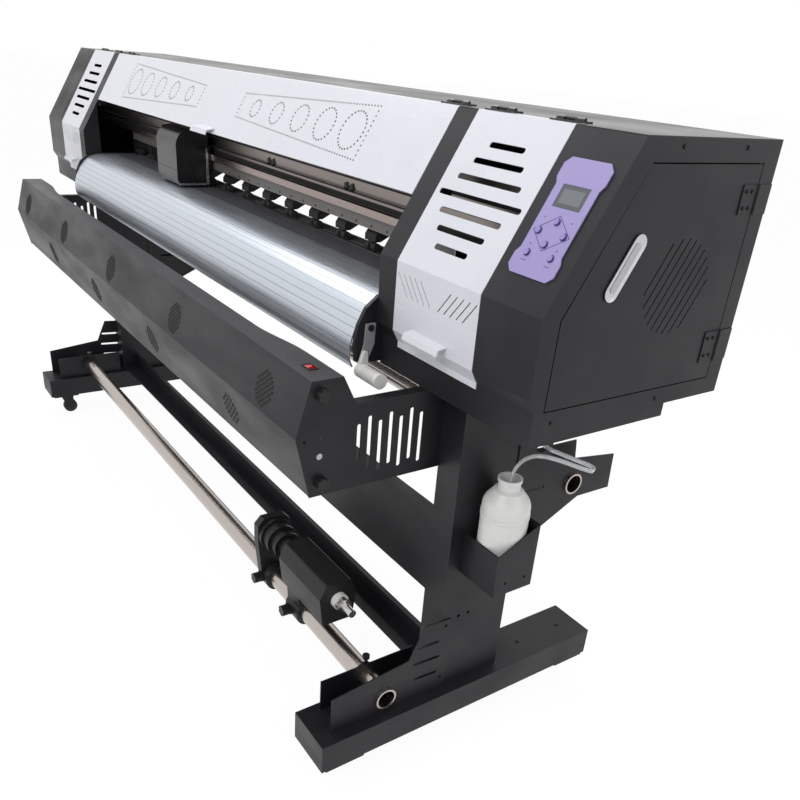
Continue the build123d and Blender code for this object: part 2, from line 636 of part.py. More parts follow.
for pulley_side, pulley_name in ((-1, "drive_pulley"), (1, "idler_pulley")):
    with BuildPart() as pulley:
        rod_y(pulley_side * pulley_x, belt_z, pulley_radius, belt_y)
        rod_y(pulley_side * pulley_x, belt_z, pulley_pin_radius + running_gap, belt_y, Mode.SUBTRACT)
    save(pulley, pulley_name)

# Carriage: hollow cover over the print heads, with a bearing block that wraps the rail
with BuildPart() as carriage:
    carriage_back_y = beam_front_y - 10
    belt_clear_y = belt_y[0] - 6
    nozzle_z = bed_z + head_gap
    block_z = belt_z - belt_inner - belt_thickness - 1.5
    with BuildSketch(Plane.YZ.offset(carriage_x[0])) as cover_outline:
        with BuildLine():
            Polyline((carriage_back_y, nozzle_z), (carriage_back_y, block_z), (belt_clear_y, block_z),
                     (belt_clear_y, carriage_top_z), (carriage_front_y + 40, carriage_top_z))
            ThreePointArc((carriage_front_y + 40, carriage_top_z), (carriage_front_y + 11, carriage_top_z - 14),
                          (carriage_front_y, carriage_top_z - 50))
            Polyline((carriage_front_y, carriage_top_z - 50), (carriage_front_y, nozzle_z + 15),
                     (carriage_front_y + 8, nozzle_z), (carriage_back_y, nozzle_z))
        make_face()
    extrude(cover_outline.sketch, amount=carriage_x[1] - carriage_x[0])
    block((carriage_x[0] + 3, carriage_x[1] - 3), (carriage_front_y + 10, belt_clear_y - 14),
          (nozzle_z, carriage_top_z - 22), Mode.SUBTRACT)
    for head_x in (carriage_x[0] + 45, carriage_x[1] - 45):
        block((head_x - 22, head_x + 22), (carriage_front_y + 24, belt_clear_y - 10), (nozzle_z, nozzle_z + 60))
    block(carriage_x, (rail_front_y - slide_gap, 0), (rail_z - slide_gap, rail_z + rail_size + slide_gap),
          Mode.SUBTRACT)
save(carriage, "carriage")

# ---------------------------------------------------------------- body shells
tower_outline = [(top_front_y, skin_z), (front_y, fold_z), (front_y, chamfer_z), (skirt_y, skirt_z),
                 (skirt_y, body_bottom_z), (back_step_y, body_bottom_z), (back_step_y, back_bottom_z),
                 (back_y - sheet, back_bottom_z), (back_y - sheet, skin_z)]
tower_inside = [(top_front_y + 1, skin_z - sheet), (front_y + sheet, fold_z - 0.4), (front_y + sheet, chamfer_z + 0.4),
                (skirt_y + sheet, skirt_z + 0.4), (skirt_y + sheet, body_bottom_z + sheet),
                (back_step_y - sheet, body_bottom_z + sheet), (back_step_y - sheet, back_bottom_z + sheet),
                (back_y - 2 * sheet, back_bottom_z + sheet), (back_y - 2 * sheet, skin_z - sheet)]
cover_bottom_z = 907.0
window_outline = [(front_y - 20, cover_bottom_z - 1), (front_y - 20, top_z), (pin_y + 2, top_z),
                  (pin_y + 2, skin_z - 5), (top_front_y + 3, skin_z - 5), (front_y + 5, fold_z - 2),
                  (front_y + 5, chamfer_z + 2), (skirt_y + 5, skirt_z + 2), (skirt_y + 5, cover_bottom_z - 1)]
door_outline = [(-10, 1261), (-136, 1054), (-139, 917), (door_pin_y - 1, 915), (door_pin_y - 1, 1261)]
door_opening = [(-9, 1261 + seam), (-138, 1055), (-141, 917 - seam), (door_pin_y + 1, 915 - seam),
                (door_pin_y + 1, 1261 + seam)]
passage = [(-121, bed_z + 3), (-121, carriage_top_z + 5), (belt_clear_y + 2, carriage_top_z + 5),
           (belt_clear_y + 2, block_z + 2), (beam_front_y - 0.5, block_z + 2), (beam_front_y - 0.5, bed_z + 3)]
door_hinge_z = ((945, 999), (1187, 1232))


def side_cheek(x):
    """The curved black plate that closes the end of the platen."""
    prism([(bed_front_y, bed_z + 2), (-140, bed_z + 2), (-172, 985), (-196, 966), (-212, 935), (-218, 900),
           (-214, 868), (-190, base_bottom_z), (base_front_y, base_bottom_z), (base_front_y, base_z),
           (bed_front_y, base_z)], x)


with BuildPart() as right_tower:
    tower_x = (right_inner_x, end_x)
    prism(tower_outline, tower_x)
    prism(tower_inside, (tower_x[0] + sheet, tower_x[1] - sheet), Mode.SUBTRACT)
    prism(window_outline, (right_cover_x[0] - seam / 2, right_cover_x[1] + seam / 2), Mode.SUBTRACT)
    prism(door_opening, (end_x - sheet, end_x), Mode.SUBTRACT)
    prism(passage, (tower_x[0], tower_x[0] + sheet), Mode.SUBTRACT)
    block((tower_x[0], tower_x[0] + sheet), (beam_front_y - 24, beam_back_y + 0.5),
          (beam_bottom_z - 0.5, beam_top_z + 0.5), Mode.SUBTRACT)
    side_cheek((print_x[1] - platen_gap + 2, print_x[1]))
    # pivot pin of the pinch lever, on the cheek
    rod(lever_pin, lever_pin_radius, (print_x[1], print_x[1] + 7))
    for shaft_at in (grit_axis, (pinch_shaft_y, pinch_shaft_z)):
        rod(shaft_at, journal_radius + running_gap, (print_x[1] - platen_gap, tower_x[0] + sheet), Mode.SUBTRACT)
    # openings under the keypad for its screen and the stems of its keys
    with BuildSketch(slant.offset(1)) as under_keypad:
        with Locations((keypad_centre[0], 170)):
            Rectangle(50, 31)
        for key_x, key_s in key_at.values():
            with Locations((keypad_centre[0] + key_x, keypad_centre[1] + key_s)):
                Circle(key_stem_radius + slide_gap)
    extrude(under_keypad.sketch, amount=-5, mode=Mode.SUBTRACT)
    # ledge behind the door that carries its back edge and stops it
    block((end_x - 14, end_x - sheet - 0.5), (door_pin_y - 8, door_pin_y + 18), (900, 1275))
    block((end_x - 14, end_x - sheet), (door_pin_y + 4, door_pin_y + 18), (900, 1275))
save(right_tower, "right_tower")

with BuildPart() as left_tower:
    tower_x = (-end_x, left_inner_x)
    prism(tower_outline, tower_x)
    prism(tower_inside, (tower_x[0] + sheet, tower_x[1] - sheet), Mode.SUBTRACT)
    prism(window_outline, (left_cover_x[0] - seam / 2, left_cover_x[1] + seam / 2), Mode.SUBTRACT)
    prism(passage, (tower_x[1] - sheet, tower_x[1]), Mode.SUBTRACT)
    block((tower_x[1] - sheet, tower_x[1]), (beam_front_y - 24, beam_back_y + 0.5),
          (beam_bottom_z - 0.5, beam_top_z + 0.5), Mode.SUBTRACT)
    side_cheek((print_x[0], print_x[0] + platen_gap - 2))
    for shaft_at in (grit_axis, (pinch_shaft_y, pinch_shaft_z)):
        rod(shaft_at, journal_radius + running_gap, (tower_x[1] - sheet, print_x[0] + platen_gap), Mode.SUBTRACT)
    # groove between the cover and the end block
    with BuildSketch(slant) as groove:
        with Locations((left_cover_x[0] - 22, slope_length / 2)):
            Rectangle(12, slope_length - 20)
    extrude(groove.sketch, amount=-0.8, mode=Mode.SUBTRACT)
    # screw heads that hold the fixed end panel
    for screw_at in ((-110, 930), (-110, 1040), (0, 1240), (230, 1240), (230, 930)):
        rod(screw_at, 6.0, (-end_x - side_fixing_height, -end_x))
save(left_tower, "left_tower")

with BuildPart() as top_cover:
    block((-end_x, end_x), (top_front_y, back_y), (skin_z, top_z))
    for window_x in (left_cover_x, print_x, right_cover_x):
        block((window_x[0] - seam / 2, window_x[1] + seam / 2), (top_front_y, pin_y + 2), (skin_z, top_z), Mode.SUBTRACT)
    block((-end_x, end_x), (back_y - sheet, back_y), (1010, skin_z))
    for tower_back in ((-end_x, left_inner_x), (right_inner_x, end_x)):
        block(tower_back, (back_y - sheet, back_y), (back_bottom_z, 1010))
save(top_cover, "top_cover")

# Pinch lever: a flat arm on the cheek's pin, with a white ribbed grip
with BuildPart() as pinch_lever:
    arm_x = (print_x[1] + 1, print_x[1] + 5)
    prism([(lever_pin[0] - 10, lever_pin[1] + 8), (lever_pin[0] + 10, lever_pin[1] + 8),
           (lever_pin[0] + 9, lever_pin[1] - 30),
           (grip_at[0] + 8, grip_at[1]), (grip_at[0] - 8, grip_at[1]), (lever_pin[0] - 12, lever_pin[1] - 30)], arm_x)
    prism([(grip_at[0] - 12, grip_at[1] - 4), (grip_at[0] + 1, grip_at[1] + 36), (grip_at[0] + 7, grip_at[1] + 36),
           (grip_at[0] + 12, grip_at[1] - 4)], (arm_x[1], arm_x[1] + 10))
    rod(grip_at, grip_radius, (arm_x[1], arm_x[1] + grip_length))
    for rib in range(9):
        rib_x = arm_x[1] + 20 + rib * 4.5
        rod(grip_at, grip_radius, (rib_x, rib_x + 1.2), Mode.SUBTRACT)
        rod(grip_at, grip_radius - 1.2, (rib_x, rib_x + 1.2))
    rod(lever_pin, lever_pin_radius + running_gap, arm_x, Mode.SUBTRACT)
save(pinch_lever, "pinch_lever")

# ---------------------------------------------------------------- front covers
knuckle_radius = 4.0
pin_radius = 2.0
leaf_width = 60.0
handle_width = 98.0
handle_shift = 6.0          # the end covers' pulls sit this far to the left of their middle


def hinge_places(x, inset):
    """Centres of the two hinges of a cover that spans x."""
    return (x[0] + inset, x[1] - inset)


def moving_knuckles(places):
    """Cover-side hinge leaves on the cover's top flange, with the two outer knuckles."""
    for hinge_x in places:
        block((hinge_x - leaf_width / 2, hinge_x + leaf_width / 2), (pin_y - 17, pin_y - 4),
              (top_z - 0.5, top_z + 2.5))
        for part in sides:
            knuckle = (hinge_x + part * 20 - 8, hinge_x + part * 20 + 8)
            block(knuckle, (pin_y - 6, pin_y - 1), (top_z + 1, pin_z + 1))
            rod((pin_y, pin_z), knuckle_radius - 0.5, knuckle)
            rod((pin_y, pin_z), pin_radius + running_gap, knuckle, Mode.SUBTRACT)


long_cover_x = (print_x[0] + seam, print_x[1] - seam)
long_hinges = (long_cover_x[0] + 45, long_cover_x[1] - 32)
lip_s = 112.0
with BuildPart() as long_cover:
    lip_y, lip_z = up_slope(lip_s)
    folded([(pin_y - 1, top_z), (top_front_y, top_z), (lip_y, lip_z), (lip_y + 9, lip_z - 2), (lip_y + 9, lip_z + 6)],
           long_cover_x, sheet, Side.LEFT)
    moving_knuckles(long_hinges)
    middle = (print_x[0] + print_x[1]) / 2
    handle_y, handle_z = up_slope(lip_s + 12)
    folded([(handle_y + 1, handle_z), (handle_y - 20, handle_z - 4), (handle_y - 24, handle_z - 14)],
           (middle - handle_width / 2, middle + handle_width / 2), plate, Side.RIGHT)
save(long_cover, "long_cover")

slot_rows = ((222, 83), (193, 118), (163, 152), (132, 200), (103, 152), (73.5, 119), (44, 83))
for cover_name, cover_x in (("left_cover", left_cover_x), ("right_cover", right_cover_x)):
    with BuildPart() as end_cover:
        folded([(pin_y - 1, top_z), (top_front_y, top_z), (front_y, fold_z), (front_y, chamfer_z),
                (skirt_y, skirt_z), (skirt_y, cover_bottom_z)], cover_x, sheet, Side.LEFT)
        centre_x = (cover_x[0] + cover_x[1]) / 2
        with BuildSketch(slant) as vents:
            for row_s, row_width in slot_rows:
                with Locations((centre_x, row_s)):
                    SlotOverall(row_width, 10)
        extrude(vents.sketch, amount=-4, mode=Mode.SUBTRACT)
        with BuildSketch(Plane((0, front_y, 0), x_dir=(1, 0, 0), z_dir=(0, -1, 0))) as louvres:
            for group in sides:
                for line in range(5):
                    with Locations((centre_x + group * (26 + 16 * line), 1024)):
                        Rectangle(2.0, 48, rotation=group * -40)
        extrude(louvres.sketch, amount=-4, mode=Mode.SUBTRACT)
        folded([(front_y + 1, 954), (front_y - 15, 951), (front_y - 18, 942)],
               (centre_x - handle_shift - handle_width / 2, centre_x - handle_shift + handle_width / 2), plate,
               Side.RIGHT)
        moving_knuckles(hinge_places(cover_x, leaf_width / 2 + 4))
    save(end_cover, cover_name)

with BuildPart() as hinges:
    top_places = long_hinges
    for cover_x in (left_cover_x, right_cover_x):
        top_places = top_places + hinge_places(cover_x, leaf_width / 2 + 4)
    for hinge_x in top_places:
        block((hinge_x - leaf_width / 2 + 6, hinge_x + leaf_width / 2 - 6), (pin_y + 4.5, pin_y + 20), (top_z, top_z + 2.5))
        block((hinge_x - 11, hinge_x + 11), (pin_y, pin_y + 6), (top_z + 1, pin_z + 1))
        rod((pin_y, pin_z), knuckle_radius - 0.5, (hinge_x - 11, hinge_x + 11))
        rod((pin_y, pin_z), pin_radius, (hinge_x - 29, hinge_x + 29))
    for low_z, high_z in door_hinge_z:
        block((end_x, end_x + 2), (door_pin_y + 3, door_pin_y + 34), (low_z, high_z))
        block((end_x, end_x + 2), (door_pin_y, door_pin_y + 4), (low_z + 14, high_z - 14))
        rod_z(door_pin_x, door_pin_y, side_fixing_height / 2, (low_z + 14, high_z - 14))
        rod_z(door_pin_x, door_pin_y, 1.2, (low_z, high_z))
save(hinges, "hinges")

# ---------------------------------------------------------------- side door
handle_length = 104.0
handle_breadth = 25.0
handle_centre = (-26.0, 1121.0)
louvre_centre = (104.0, 1083.0)
louvre_radius = 74.0
with BuildPart() as right_door:
    prism(door_outline, (end_x - sheet, end_x))
    lean = degrees(slope)
    with BuildSketch(Plane.YZ.offset(end_x - sheet)) as louvre_cuts:
        for line in range(9):
            across = (line - 4) * 15.0
            reach = 2 * (louvre_radius ** 2 - across ** 2) ** 0.5
            with Locations((louvre_centre[0] + across * sin(slope), louvre_centre[1] - across * cos(slope))):
                Rectangle(reach, 2.2, rotation=lean)
    extrude(louvre_cuts.sketch, amount=sheet, mode=Mode.SUBTRACT)
    with BuildSketch(Plane.YZ.offset(end_x - 8)) as pull:
        with Locations(handle_centre):
            SlotOverall(handle_length, handle_breadth, rotation=lean)
    extrude(pull.sketch, amount=10)
    with BuildSketch(Plane.YZ.offset(end_x - 6)) as recess:
        with Locations(handle_centre):
            SlotOverall(handle_length - 22, handle_breadth - 11, rotation=lean)
    extrude(recess.sketch, amount=8, mode=Mode.SUBTRACT)
    for low_z, high_z in door_hinge_z:
        block((end_x, end_x + 2), (door_pin_y - 38, door_pin_y - 3), (low_z, high_z))
        for knuckle in ((low_z, low_z + 13.5), (high_z - 13.5, high_z)):
            block((end_x + 0.3, end_x + 2), (door_pin_y - 5, door_pin_y), knuckle)
            rod_z(door_pin_x, door_pin_y, side_fixing_height / 2, knuckle)
            rod_z(door_pin_x, door_pin_y, 1.2 + running_gap, knuckle, Mode.SUBTRACT)
save(right_door, "right_door")

# ---------------------------------------------------------------- keypad
pad_x, pad_s = keypad_centre
with BuildPart() as keypad:
    with BuildSketch(slant) as face:
        with BuildLine():
            Polyline((1246, 47), (1320, 47), (1330, 57), (1330, 76), (1325, 86), (1325, 186), (1330, 196), (1330, 217),
                     (1320, 227.5), (1246, 227.5), (1236, 217), (1236, 196), (1242, 186), (1242, 86), (1236, 76),
                     (1236, 57), close=True)
        make_face()
        with Locations((1284, 170)):
            Rectangle(54, 35, mode=Mode.SUBTRACT)
        for offset_x, offset_s in key_at.values():
            with Locations((pad_x + offset_x, pad_s + offset_s)):
                Circle(key_stem_radius + running_gap, mode=Mode.SUBTRACT)
    extrude(face.sketch, amount=keypad_thickness)
    with BuildSketch(slant) as screen:
        with Locations((1284, 170)):
            Rectangle(54, 35)
    extrude(screen.sketch, amount=1.0)
save(keypad, "keypad")

for key_name, (offset_x, offset_s) in key_at.items():
    with BuildPart() as key:
        with BuildSketch(slant.offset(keypad_thickness + slide_gap + key_travel)) as cap:
            with Locations((pad_x + offset_x, pad_s + offset_s)):
                Circle(key_radius)
        extrude(cap.sketch, amount=1.4)
        with BuildSketch(slant.offset(-4)) as stem:
            with Locations((pad_x + offset_x, pad_s + offset_s)):
                Circle(key_stem_radius)
        extrude(stem.sketch, amount=4 + keypad_thickness + slide_gap + key_travel)
    save(key, key_name)

# ---------------------------------------------------------------- inside the right tower
with BuildPart() as capping_station:
    rest_x = right_inner_x + 130.0
    block((rest_x - 76, rest_x + 76), (-118, -32), (body_bottom_z + sheet, bed_z - 34))
    block((rest_x - 60, rest_x + 60), (-100, -40), (bed_z - 34, bed_z - 14))
    for cap_x in (rest_x - 32, rest_x + 32):
        block((cap_x - 20, cap_x + 20), (-95, -45), (bed_z - 14, bed_z + 1))
        block((cap_x - 17, cap_x + 17), (-92, -48), (bed_z - 6, bed_z + 1), Mode.SUBTRACT)
save(capping_station, "capping_station")

with BuildPart() as motors:
    # feed motor on the end of the grit shaft
    feed_x = right_inner_x + 62.0
    block((feed_x, feed_x + 56), (roller_y - 20, roller_y + 40), (grit_axis[1] - 30, grit_axis[1] + 26))
    block((feed_x + 6, feed_x + 50), (roller_y - 18, roller_y + 34), (body_bottom_z + sheet, grit_axis[1] - 30))
    # carriage motor on the back of the beam, in line with its pulley
    block((-pulley_x - 30, -pulley_x + 30), (beam_back_y, beam_back_y + 62), (belt_z - 30, belt_z + 30))
save(motors, "motors")

# ---------------------------------------------------------------- waste bottle
with BuildPart() as bottle_holder:
    holder_x_span = (post_outer_x, post_outer_x + holder_box_depth)
    block(holder_x_span, holder_box_y, (holder_box_z[0], holder_back_z))
    block((post_outer_x + 2, holder_x_span[1] - 2), (holder_box_y[0] + 2, holder_box_y[1] - 2),
          (holder_box_z[0] + 2, holder_back_z), Mode.SUBTRACT)
    prism([(holder_box_y[0] - 1, holder_box_z[1]), (holder_box_y[1], holder_back_z), (holder_box_y[1], holder_back_z + 1),
           (holder_box_y[0] - 1, holder_back_z + 1)], holder_x_span, Mode.SUBTRACT)
    for hole_y in (-12.0, 38.0):
        rod((hole_y, holder_box_z[0] + 26), 3.0, (holder_x_span[1] - 2, holder_x_span[1]), Mode.SUBTRACT)
save(bottle_holder, "bottle_holder")

bottle_x, bottle_y = bottle_at
with BuildPart() as waste_bottle:
    with BuildSketch(Plane((bottle_x, bottle_y, bottle_bottom_z), x_dir=(1, 0, 0), z_dir=(0, -1, 0))) as half:
        with BuildLine():
            mouth = bottle_height
            Polyline((0, 0), (bottle_radius - 4, 0), (bottle_radius, 4), (bottle_radius, 168))
            Spline((bottle_radius, 168), (40, 190), (30, 203), tangents=((0, 1), (-0.5, 1)))
            Polyline((30, 203), (22, 206), (22, mouth - 6), (24, mouth - 6), (24, mouth), (22 - bottle_wall, mouth),
                     (22 - bottle_wall, 204), (28, 201))
            Spline((28, 201), (38, 188), (bottle_radius - bottle_wall, 167), tangents=((0.5, -1), (0, -1)))
            Polyline((bottle_radius - bottle_wall, 167), (bottle_radius - bottle_wall, 4), (bottle_radius - 5, bottle_wall),
                     (0, bottle_wall), (0, 0))
        make_face()
    revolve(half.sketch, axis=Axis((bottle_x, bottle_y, 0), (0, 0, 1)))
save(waste_bottle, "waste_bottle")

# Two limp waste tubes, side by side, from the tower's underside down into the bottle
hose_diameter = 6.0
hose_offset = (2.5, -2.5, 3.0)
hose_route = ((1060, 170, 883), (1061, 169, 852), (1064, 164, 815), (1068, 156, 775), (1075, 146, 735),
              (1091, 138, 706), (1114, 139, 695), (1140, 156, 690), (1166, 174, 684), (1183, 188, 679),
              (1193, 197, 675), (1202, 188, 672), (1198, 170, 678), (1190, 146, 688), (1180, 116, 701),
              (1169, 84, 713), (1161, 50, 719), (1156, 22, 706), (1154, 8, 672), (1156, 10, 632))


def bend_radii(points):
    """The largest arc at each inner point that its two runs allow."""
    radii = []
    for before, at, after in zip(points, points[1:], points[2:]):
        run_in = Vector(*at) - Vector(*before)
        run_out = Vector(*after) - Vector(*at)
        half_turn = radians(run_in.get_angle(run_out)) / 2
        radii.append(0.45 * min(run_in.length, run_out.length) / tan(half_turn))
    return radii


for hose_number, hose_name in enumerate(("waste_tube_a", "waste_tube_b")):
    shift_x, shift_y, shift_z = [(2 * hose_number - 1) * step for step in hose_offset]
    route = [(x + shift_x, y + shift_y, z + shift_z) for x, y, z in hose_route]
    route[0] = (route[0][0], route[0][1], back_bottom_z)
    radii = bend_radii(route)
    print(hose_name, "radii", [round(radius) for radius in radii])
    with BuildPart() as hose:
        with BuildLine() as path:
            FilletPolyline(*route, radius=radii)
        with BuildSketch(Plane(path.line @ 0, z_dir=path.line % 0)) as section:
            Circle(hose_diameter / 2)
        sweep(section.sketch, path=path.line)
    volume_ratio = hose.part.volume / (section.sketch.area * path.wires()[0].length)
    print(hose_name, "length", round(path.wires()[0].length, 1), "volume ratio", round(volume_ratio, 4))
    save(hose, hose_name)
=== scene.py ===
"""Looks for a wide-format roll printer on a wheeled stand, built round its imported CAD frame.

Metres, in the frame's own axes: +X is the keypad end, -Y the operator's side, +Z up.
"""

import math

import bmesh
import bpy
from mathutils import Matrix, Vector


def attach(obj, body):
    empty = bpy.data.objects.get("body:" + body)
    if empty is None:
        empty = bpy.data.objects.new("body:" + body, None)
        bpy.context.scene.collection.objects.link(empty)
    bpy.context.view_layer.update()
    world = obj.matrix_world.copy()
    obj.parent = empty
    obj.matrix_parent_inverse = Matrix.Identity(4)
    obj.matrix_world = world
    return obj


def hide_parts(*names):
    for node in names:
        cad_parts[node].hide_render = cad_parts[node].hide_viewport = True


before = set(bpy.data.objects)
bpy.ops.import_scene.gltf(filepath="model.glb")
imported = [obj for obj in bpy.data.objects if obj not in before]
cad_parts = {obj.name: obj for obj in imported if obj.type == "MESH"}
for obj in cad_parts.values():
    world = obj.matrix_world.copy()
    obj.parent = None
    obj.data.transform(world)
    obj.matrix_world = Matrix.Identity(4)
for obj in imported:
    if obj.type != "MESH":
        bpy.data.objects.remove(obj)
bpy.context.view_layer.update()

# ------------------------------------------------------------------ camera
CAMERA_AT = Vector((2.1022, -0.9477, 1.3611))
CAMERA_YAW = math.radians(52.487)
CAMERA_PITCH = math.radians(-28.166)
CAMERA_ROLL = math.radians(5.238)


def place_camera():
    """The camera stands off the machine's right-hand front corner and looks down along it."""
    ahead = Vector((-math.sin(CAMERA_YAW) * math.cos(CAMERA_PITCH), math.cos(CAMERA_YAW) * math.cos(CAMERA_PITCH),
                    math.sin(CAMERA_PITCH)))
    level = Vector((math.cos(CAMERA_YAW), math.sin(CAMERA_YAW), 0))
    upright = level.cross(ahead)
    right = level * math.cos(CAMERA_ROLL) + upright * math.sin(CAMERA_ROLL)
    up = upright * math.cos(CAMERA_ROLL) - level * math.sin(CAMERA_ROLL)
    data = bpy.data.cameras.new("camera")
    data.lens = 35.61
    data.sensor_width = 36.0
    data.shift_x = -0.0166
    data.shift_y = 0.1045
    camera = bpy.data.objects.new("camera", data)
    bpy.context.collection.objects.link(camera)
    camera.matrix_world = Matrix.Translation(CAMERA_AT) @ Matrix((right, up, -ahead)).transposed().to_4x4()
    bpy.context.scene.camera = camera


place_camera()

# ------------------------------------------------------------------ waste tubes
TUBE_DIAMETER = 0.006
TUBE_OFFSET = Vector((0.0025, -0.0025, 0.003))
TUBE_ROUTE = (
    (1.060, 0.170, 0.883), (1.061, 0.169, 0.852), (1.064, 0.164, 0.815), (1.068, 0.156, 0.775),
    (1.075, 0.146, 0.735), (1.091, 0.138, 0.706), (1.114, 0.139, 0.695), (1.140, 0.156, 0.690),
    (1.166, 0.174, 0.684), (1.183, 0.188, 0.679), (1.193, 0.197, 0.675), (1.202, 0.188, 0.672),
    (1.198, 0.170, 0.678), (1.190, 0.146, 0.688), (1.180, 0.116, 0.701), (1.169, 0.084, 0.713),
    (1.161, 0.050, 0.719), (1.156, 0.022, 0.706), (1.154, 0.008, 0.672), (1.156, 0.010, 0.632),
)


def waste_tube(name, side):
    """One limp tube from the tower's underside, round its fold and down into the bottle."""
    data = bpy.data.curves.new(name, "CURVE")
    data.dimensions = "3D"
    data.bevel_depth = 1.0
    data.bevel_resolution = 4
    data.resolution_u = 12
    data.use_fill_caps = True
    line = data.splines.new("NURBS")
    line.points.add(len(TUBE_ROUTE) - 1)
    for point, at in zip(line.points, TUBE_ROUTE):
        point.co = (*(Vector(at) + TUBE_OFFSET * side), 1)
        point.radius = TUBE_DIAMETER / 2
    start = Vector(TUBE_ROUTE[0]) + TUBE_OFFSET * side
    start.z = TUBE_ROUTE[0][2]
    line.points[0].co = (*start, 1)
    line.order_u = 3
    line.use_endpoint_u = True
    tube = bpy.data.objects.new(name, data)
    bpy.context.collection.objects.link(tube)
    return tube, start


tube_a, tube_a_start = waste_tube("clear_waste_tube_a", -1)
tube_b, tube_b_start = waste_tube("clear_waste_tube_b", 1)
for tube, start, node, length in ((tube_a, tube_a_start, "waste_tube_a", 0.576),
                                  (tube_b, tube_b_start, "waste_tube_b", 0.570)):
    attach(tube, "machine")
    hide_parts(node)

# ------------------------------------------------------------------ places taken from the frame
END_X = 1.350
SKIN = 0.0015
FRONT_FOLD = Vector((0, -0.1734, 1.0604))
TOP_FOLD = Vector((0, -0.032, 1.297))
UP_SLOPE = (TOP_FOLD - FRONT_FOLD).normalized()
SLOPE_OUT = Vector((1, 0, 0)).cross(UP_SLOPE)
RIGHT_COVER_X = (0.994, 1.216)
PRINT_X = (-0.892, 0.942)
DRYER_UPPER = (Vector((0, -0.385, 0.786)), Vector((0, -0.356, 0.8856)))
DRYER_LOWER = (Vector((0, -0.357, 0.670)), Vector((0, -0.385, 0.786)))


def on_slope(x, up, proud=0.0):
    """A point on the slanted front: x along the machine, up the slope from its lower fold."""
    return FRONT_FOLD + Vector((x, 0, 0)) + UP_SLOPE * up + SLOPE_OUT * proud


# ------------------------------------------------------------------ shader groups
def sockets(tree, inputs, outputs):
    """Gives a node group its named inputs, with their values, and outputs."""
    for name, kind, value in inputs:
        socket = tree.interface.new_socket(name=name, in_out="INPUT", socket_type=kind)
        socket.default_value = value
    for name, kind in outputs:
        tree.interface.new_socket(name=name, in_out="OUTPUT", socket_type=kind)
    return tree.nodes.new("NodeGroupInput"), tree.nodes.new("NodeGroupOutput")


def sum_of(tree, operation, *values):
    """A maths node; each value is a number or another node's output."""
    node = tree.nodes.new("ShaderNodeMath")
    node.operation = operation
    for socket, value in zip(node.inputs, values):
        if isinstance(value, (int, float)):
            socket.default_value = value
        else:
            tree.links.new(value, socket)
    return node.outputs[0]


def place_of(tree, stretch=None):
    """Object coordinates, stretched or not."""
    place = tree.nodes.new("ShaderNodeTexCoord").outputs["Object"]
    if stretch is None:
        return place
    mapping = tree.nodes.new("ShaderNodeMapping")
    mapping.inputs["Scale"].default_value = stretch
    tree.links.new(place, mapping.inputs["Vector"])
    return mapping.outputs["Vector"]


def noise_of(tree, place, scale, detail=3.0):
    """Noise at a place; scale is a number or an output."""
    noise = tree.nodes.new("ShaderNodeTexNoise")
    noise.inputs["Detail"].default_value = detail
    tree.links.new(place, noise.inputs["Vector"])
    if isinstance(scale, (int, float)):
        noise.inputs["Scale"].default_value = scale
    else:
        tree.links.new(scale, noise.inputs["Scale"])
    return noise.outputs["Fac"]


def spread(tree, value, low, high, to_low, to_high):
    """Maps a value from one range to another, held at its ends."""
    node = tree.nodes.new("ShaderNodeMapRange")
    tree.links.new(value, node.inputs["Value"])
    for name, number in (("From Min", low), ("From Max", high), ("To Min", to_low), ("To Max", to_high)):
        if isinstance(number, (int, float)):
            node.inputs[name].default_value = number
        else:
            tree.links.new(number, node.inputs[name])
    return node.outputs["Result"]


def mixed(tree, mask, first, second):
    """Colour first where the mask is 0 and second where it is 1."""
    node = tree.nodes.new("ShaderNodeMix")
    node.data_type = "RGBA"
    tree.links.new(mask, node.inputs["Factor"])
    for socket, colour in ((node.inputs[6], first), (node.inputs[7], second)):
        if isinstance(colour, tuple):
            socket.default_value = (*colour, 1.0)
        else:
            tree.links.new(colour, socket)
    return node.outputs[2]


def grain_group():
    """Fine grain for a painted or moulded surface, and the faint smears of handling."""
    tree = bpy.data.node_groups.new("surface_grain", "ShaderNodeTree")
    given, result = sockets(tree, (("Grain Scale", "NodeSocketFloat", 600.0), ("Gloss Low", "NodeSocketFloat", 0.3),
                                   ("Gloss High", "NodeSocketFloat", 0.5), ("Colour", "NodeSocketColor", (0, 0, 0, 1)),
                                   ("Dusty", "NodeSocketColor", (0, 0, 0, 1))),
                            (("Height", "NodeSocketFloat"), ("Roughness", "NodeSocketFloat"),
                             ("Colour", "NodeSocketColor")))
    place = place_of(tree)
    fine = noise_of(tree, place, given.outputs["Grain Scale"], 2.0)
    smears = noise_of(tree, place_of(tree, (1.0, 2.0, 3.0)), 4.0, 5.0)
    rough = spread(tree, smears, 0.35, 0.65, given.outputs["Gloss Low"], given.outputs["Gloss High"])
    dust = spread(tree, noise_of(tree, place, 9.0, 6.0), 0.5, 0.75, 0.0, 0.6)
    tree.links.new(fine, result.inputs["Height"])
    tree.links.new(rough, result.inputs["Roughness"])
    tree.links.new(mixed(tree, dust, given.outputs["Colour"], given.outputs["Dusty"]), result.inputs["Colour"])
    return tree


def brushed_group():
    """Lines of brushing or drawing along X."""
    tree = bpy.data.node_groups.new("drawn_lines", "ShaderNodeTree")
    given, result = sockets(tree, (("Gloss Low", "NodeSocketFloat", 0.2), ("Gloss High", "NodeSocketFloat", 0.4)),
                            (("Height", "NodeSocketFloat"), ("Roughness", "NodeSocketFloat")))
    lines = noise_of(tree, place_of(tree, (3.0, 260.0, 260.0)), 1.0, 4.0)
    rough = spread(tree, lines, 0.3, 0.7, given.outputs["Gloss Low"], given.outputs["Gloss High"])
    tree.links.new(lines, result.inputs["Height"])
    tree.links.new(rough, result.inputs["Roughness"])
    return tree


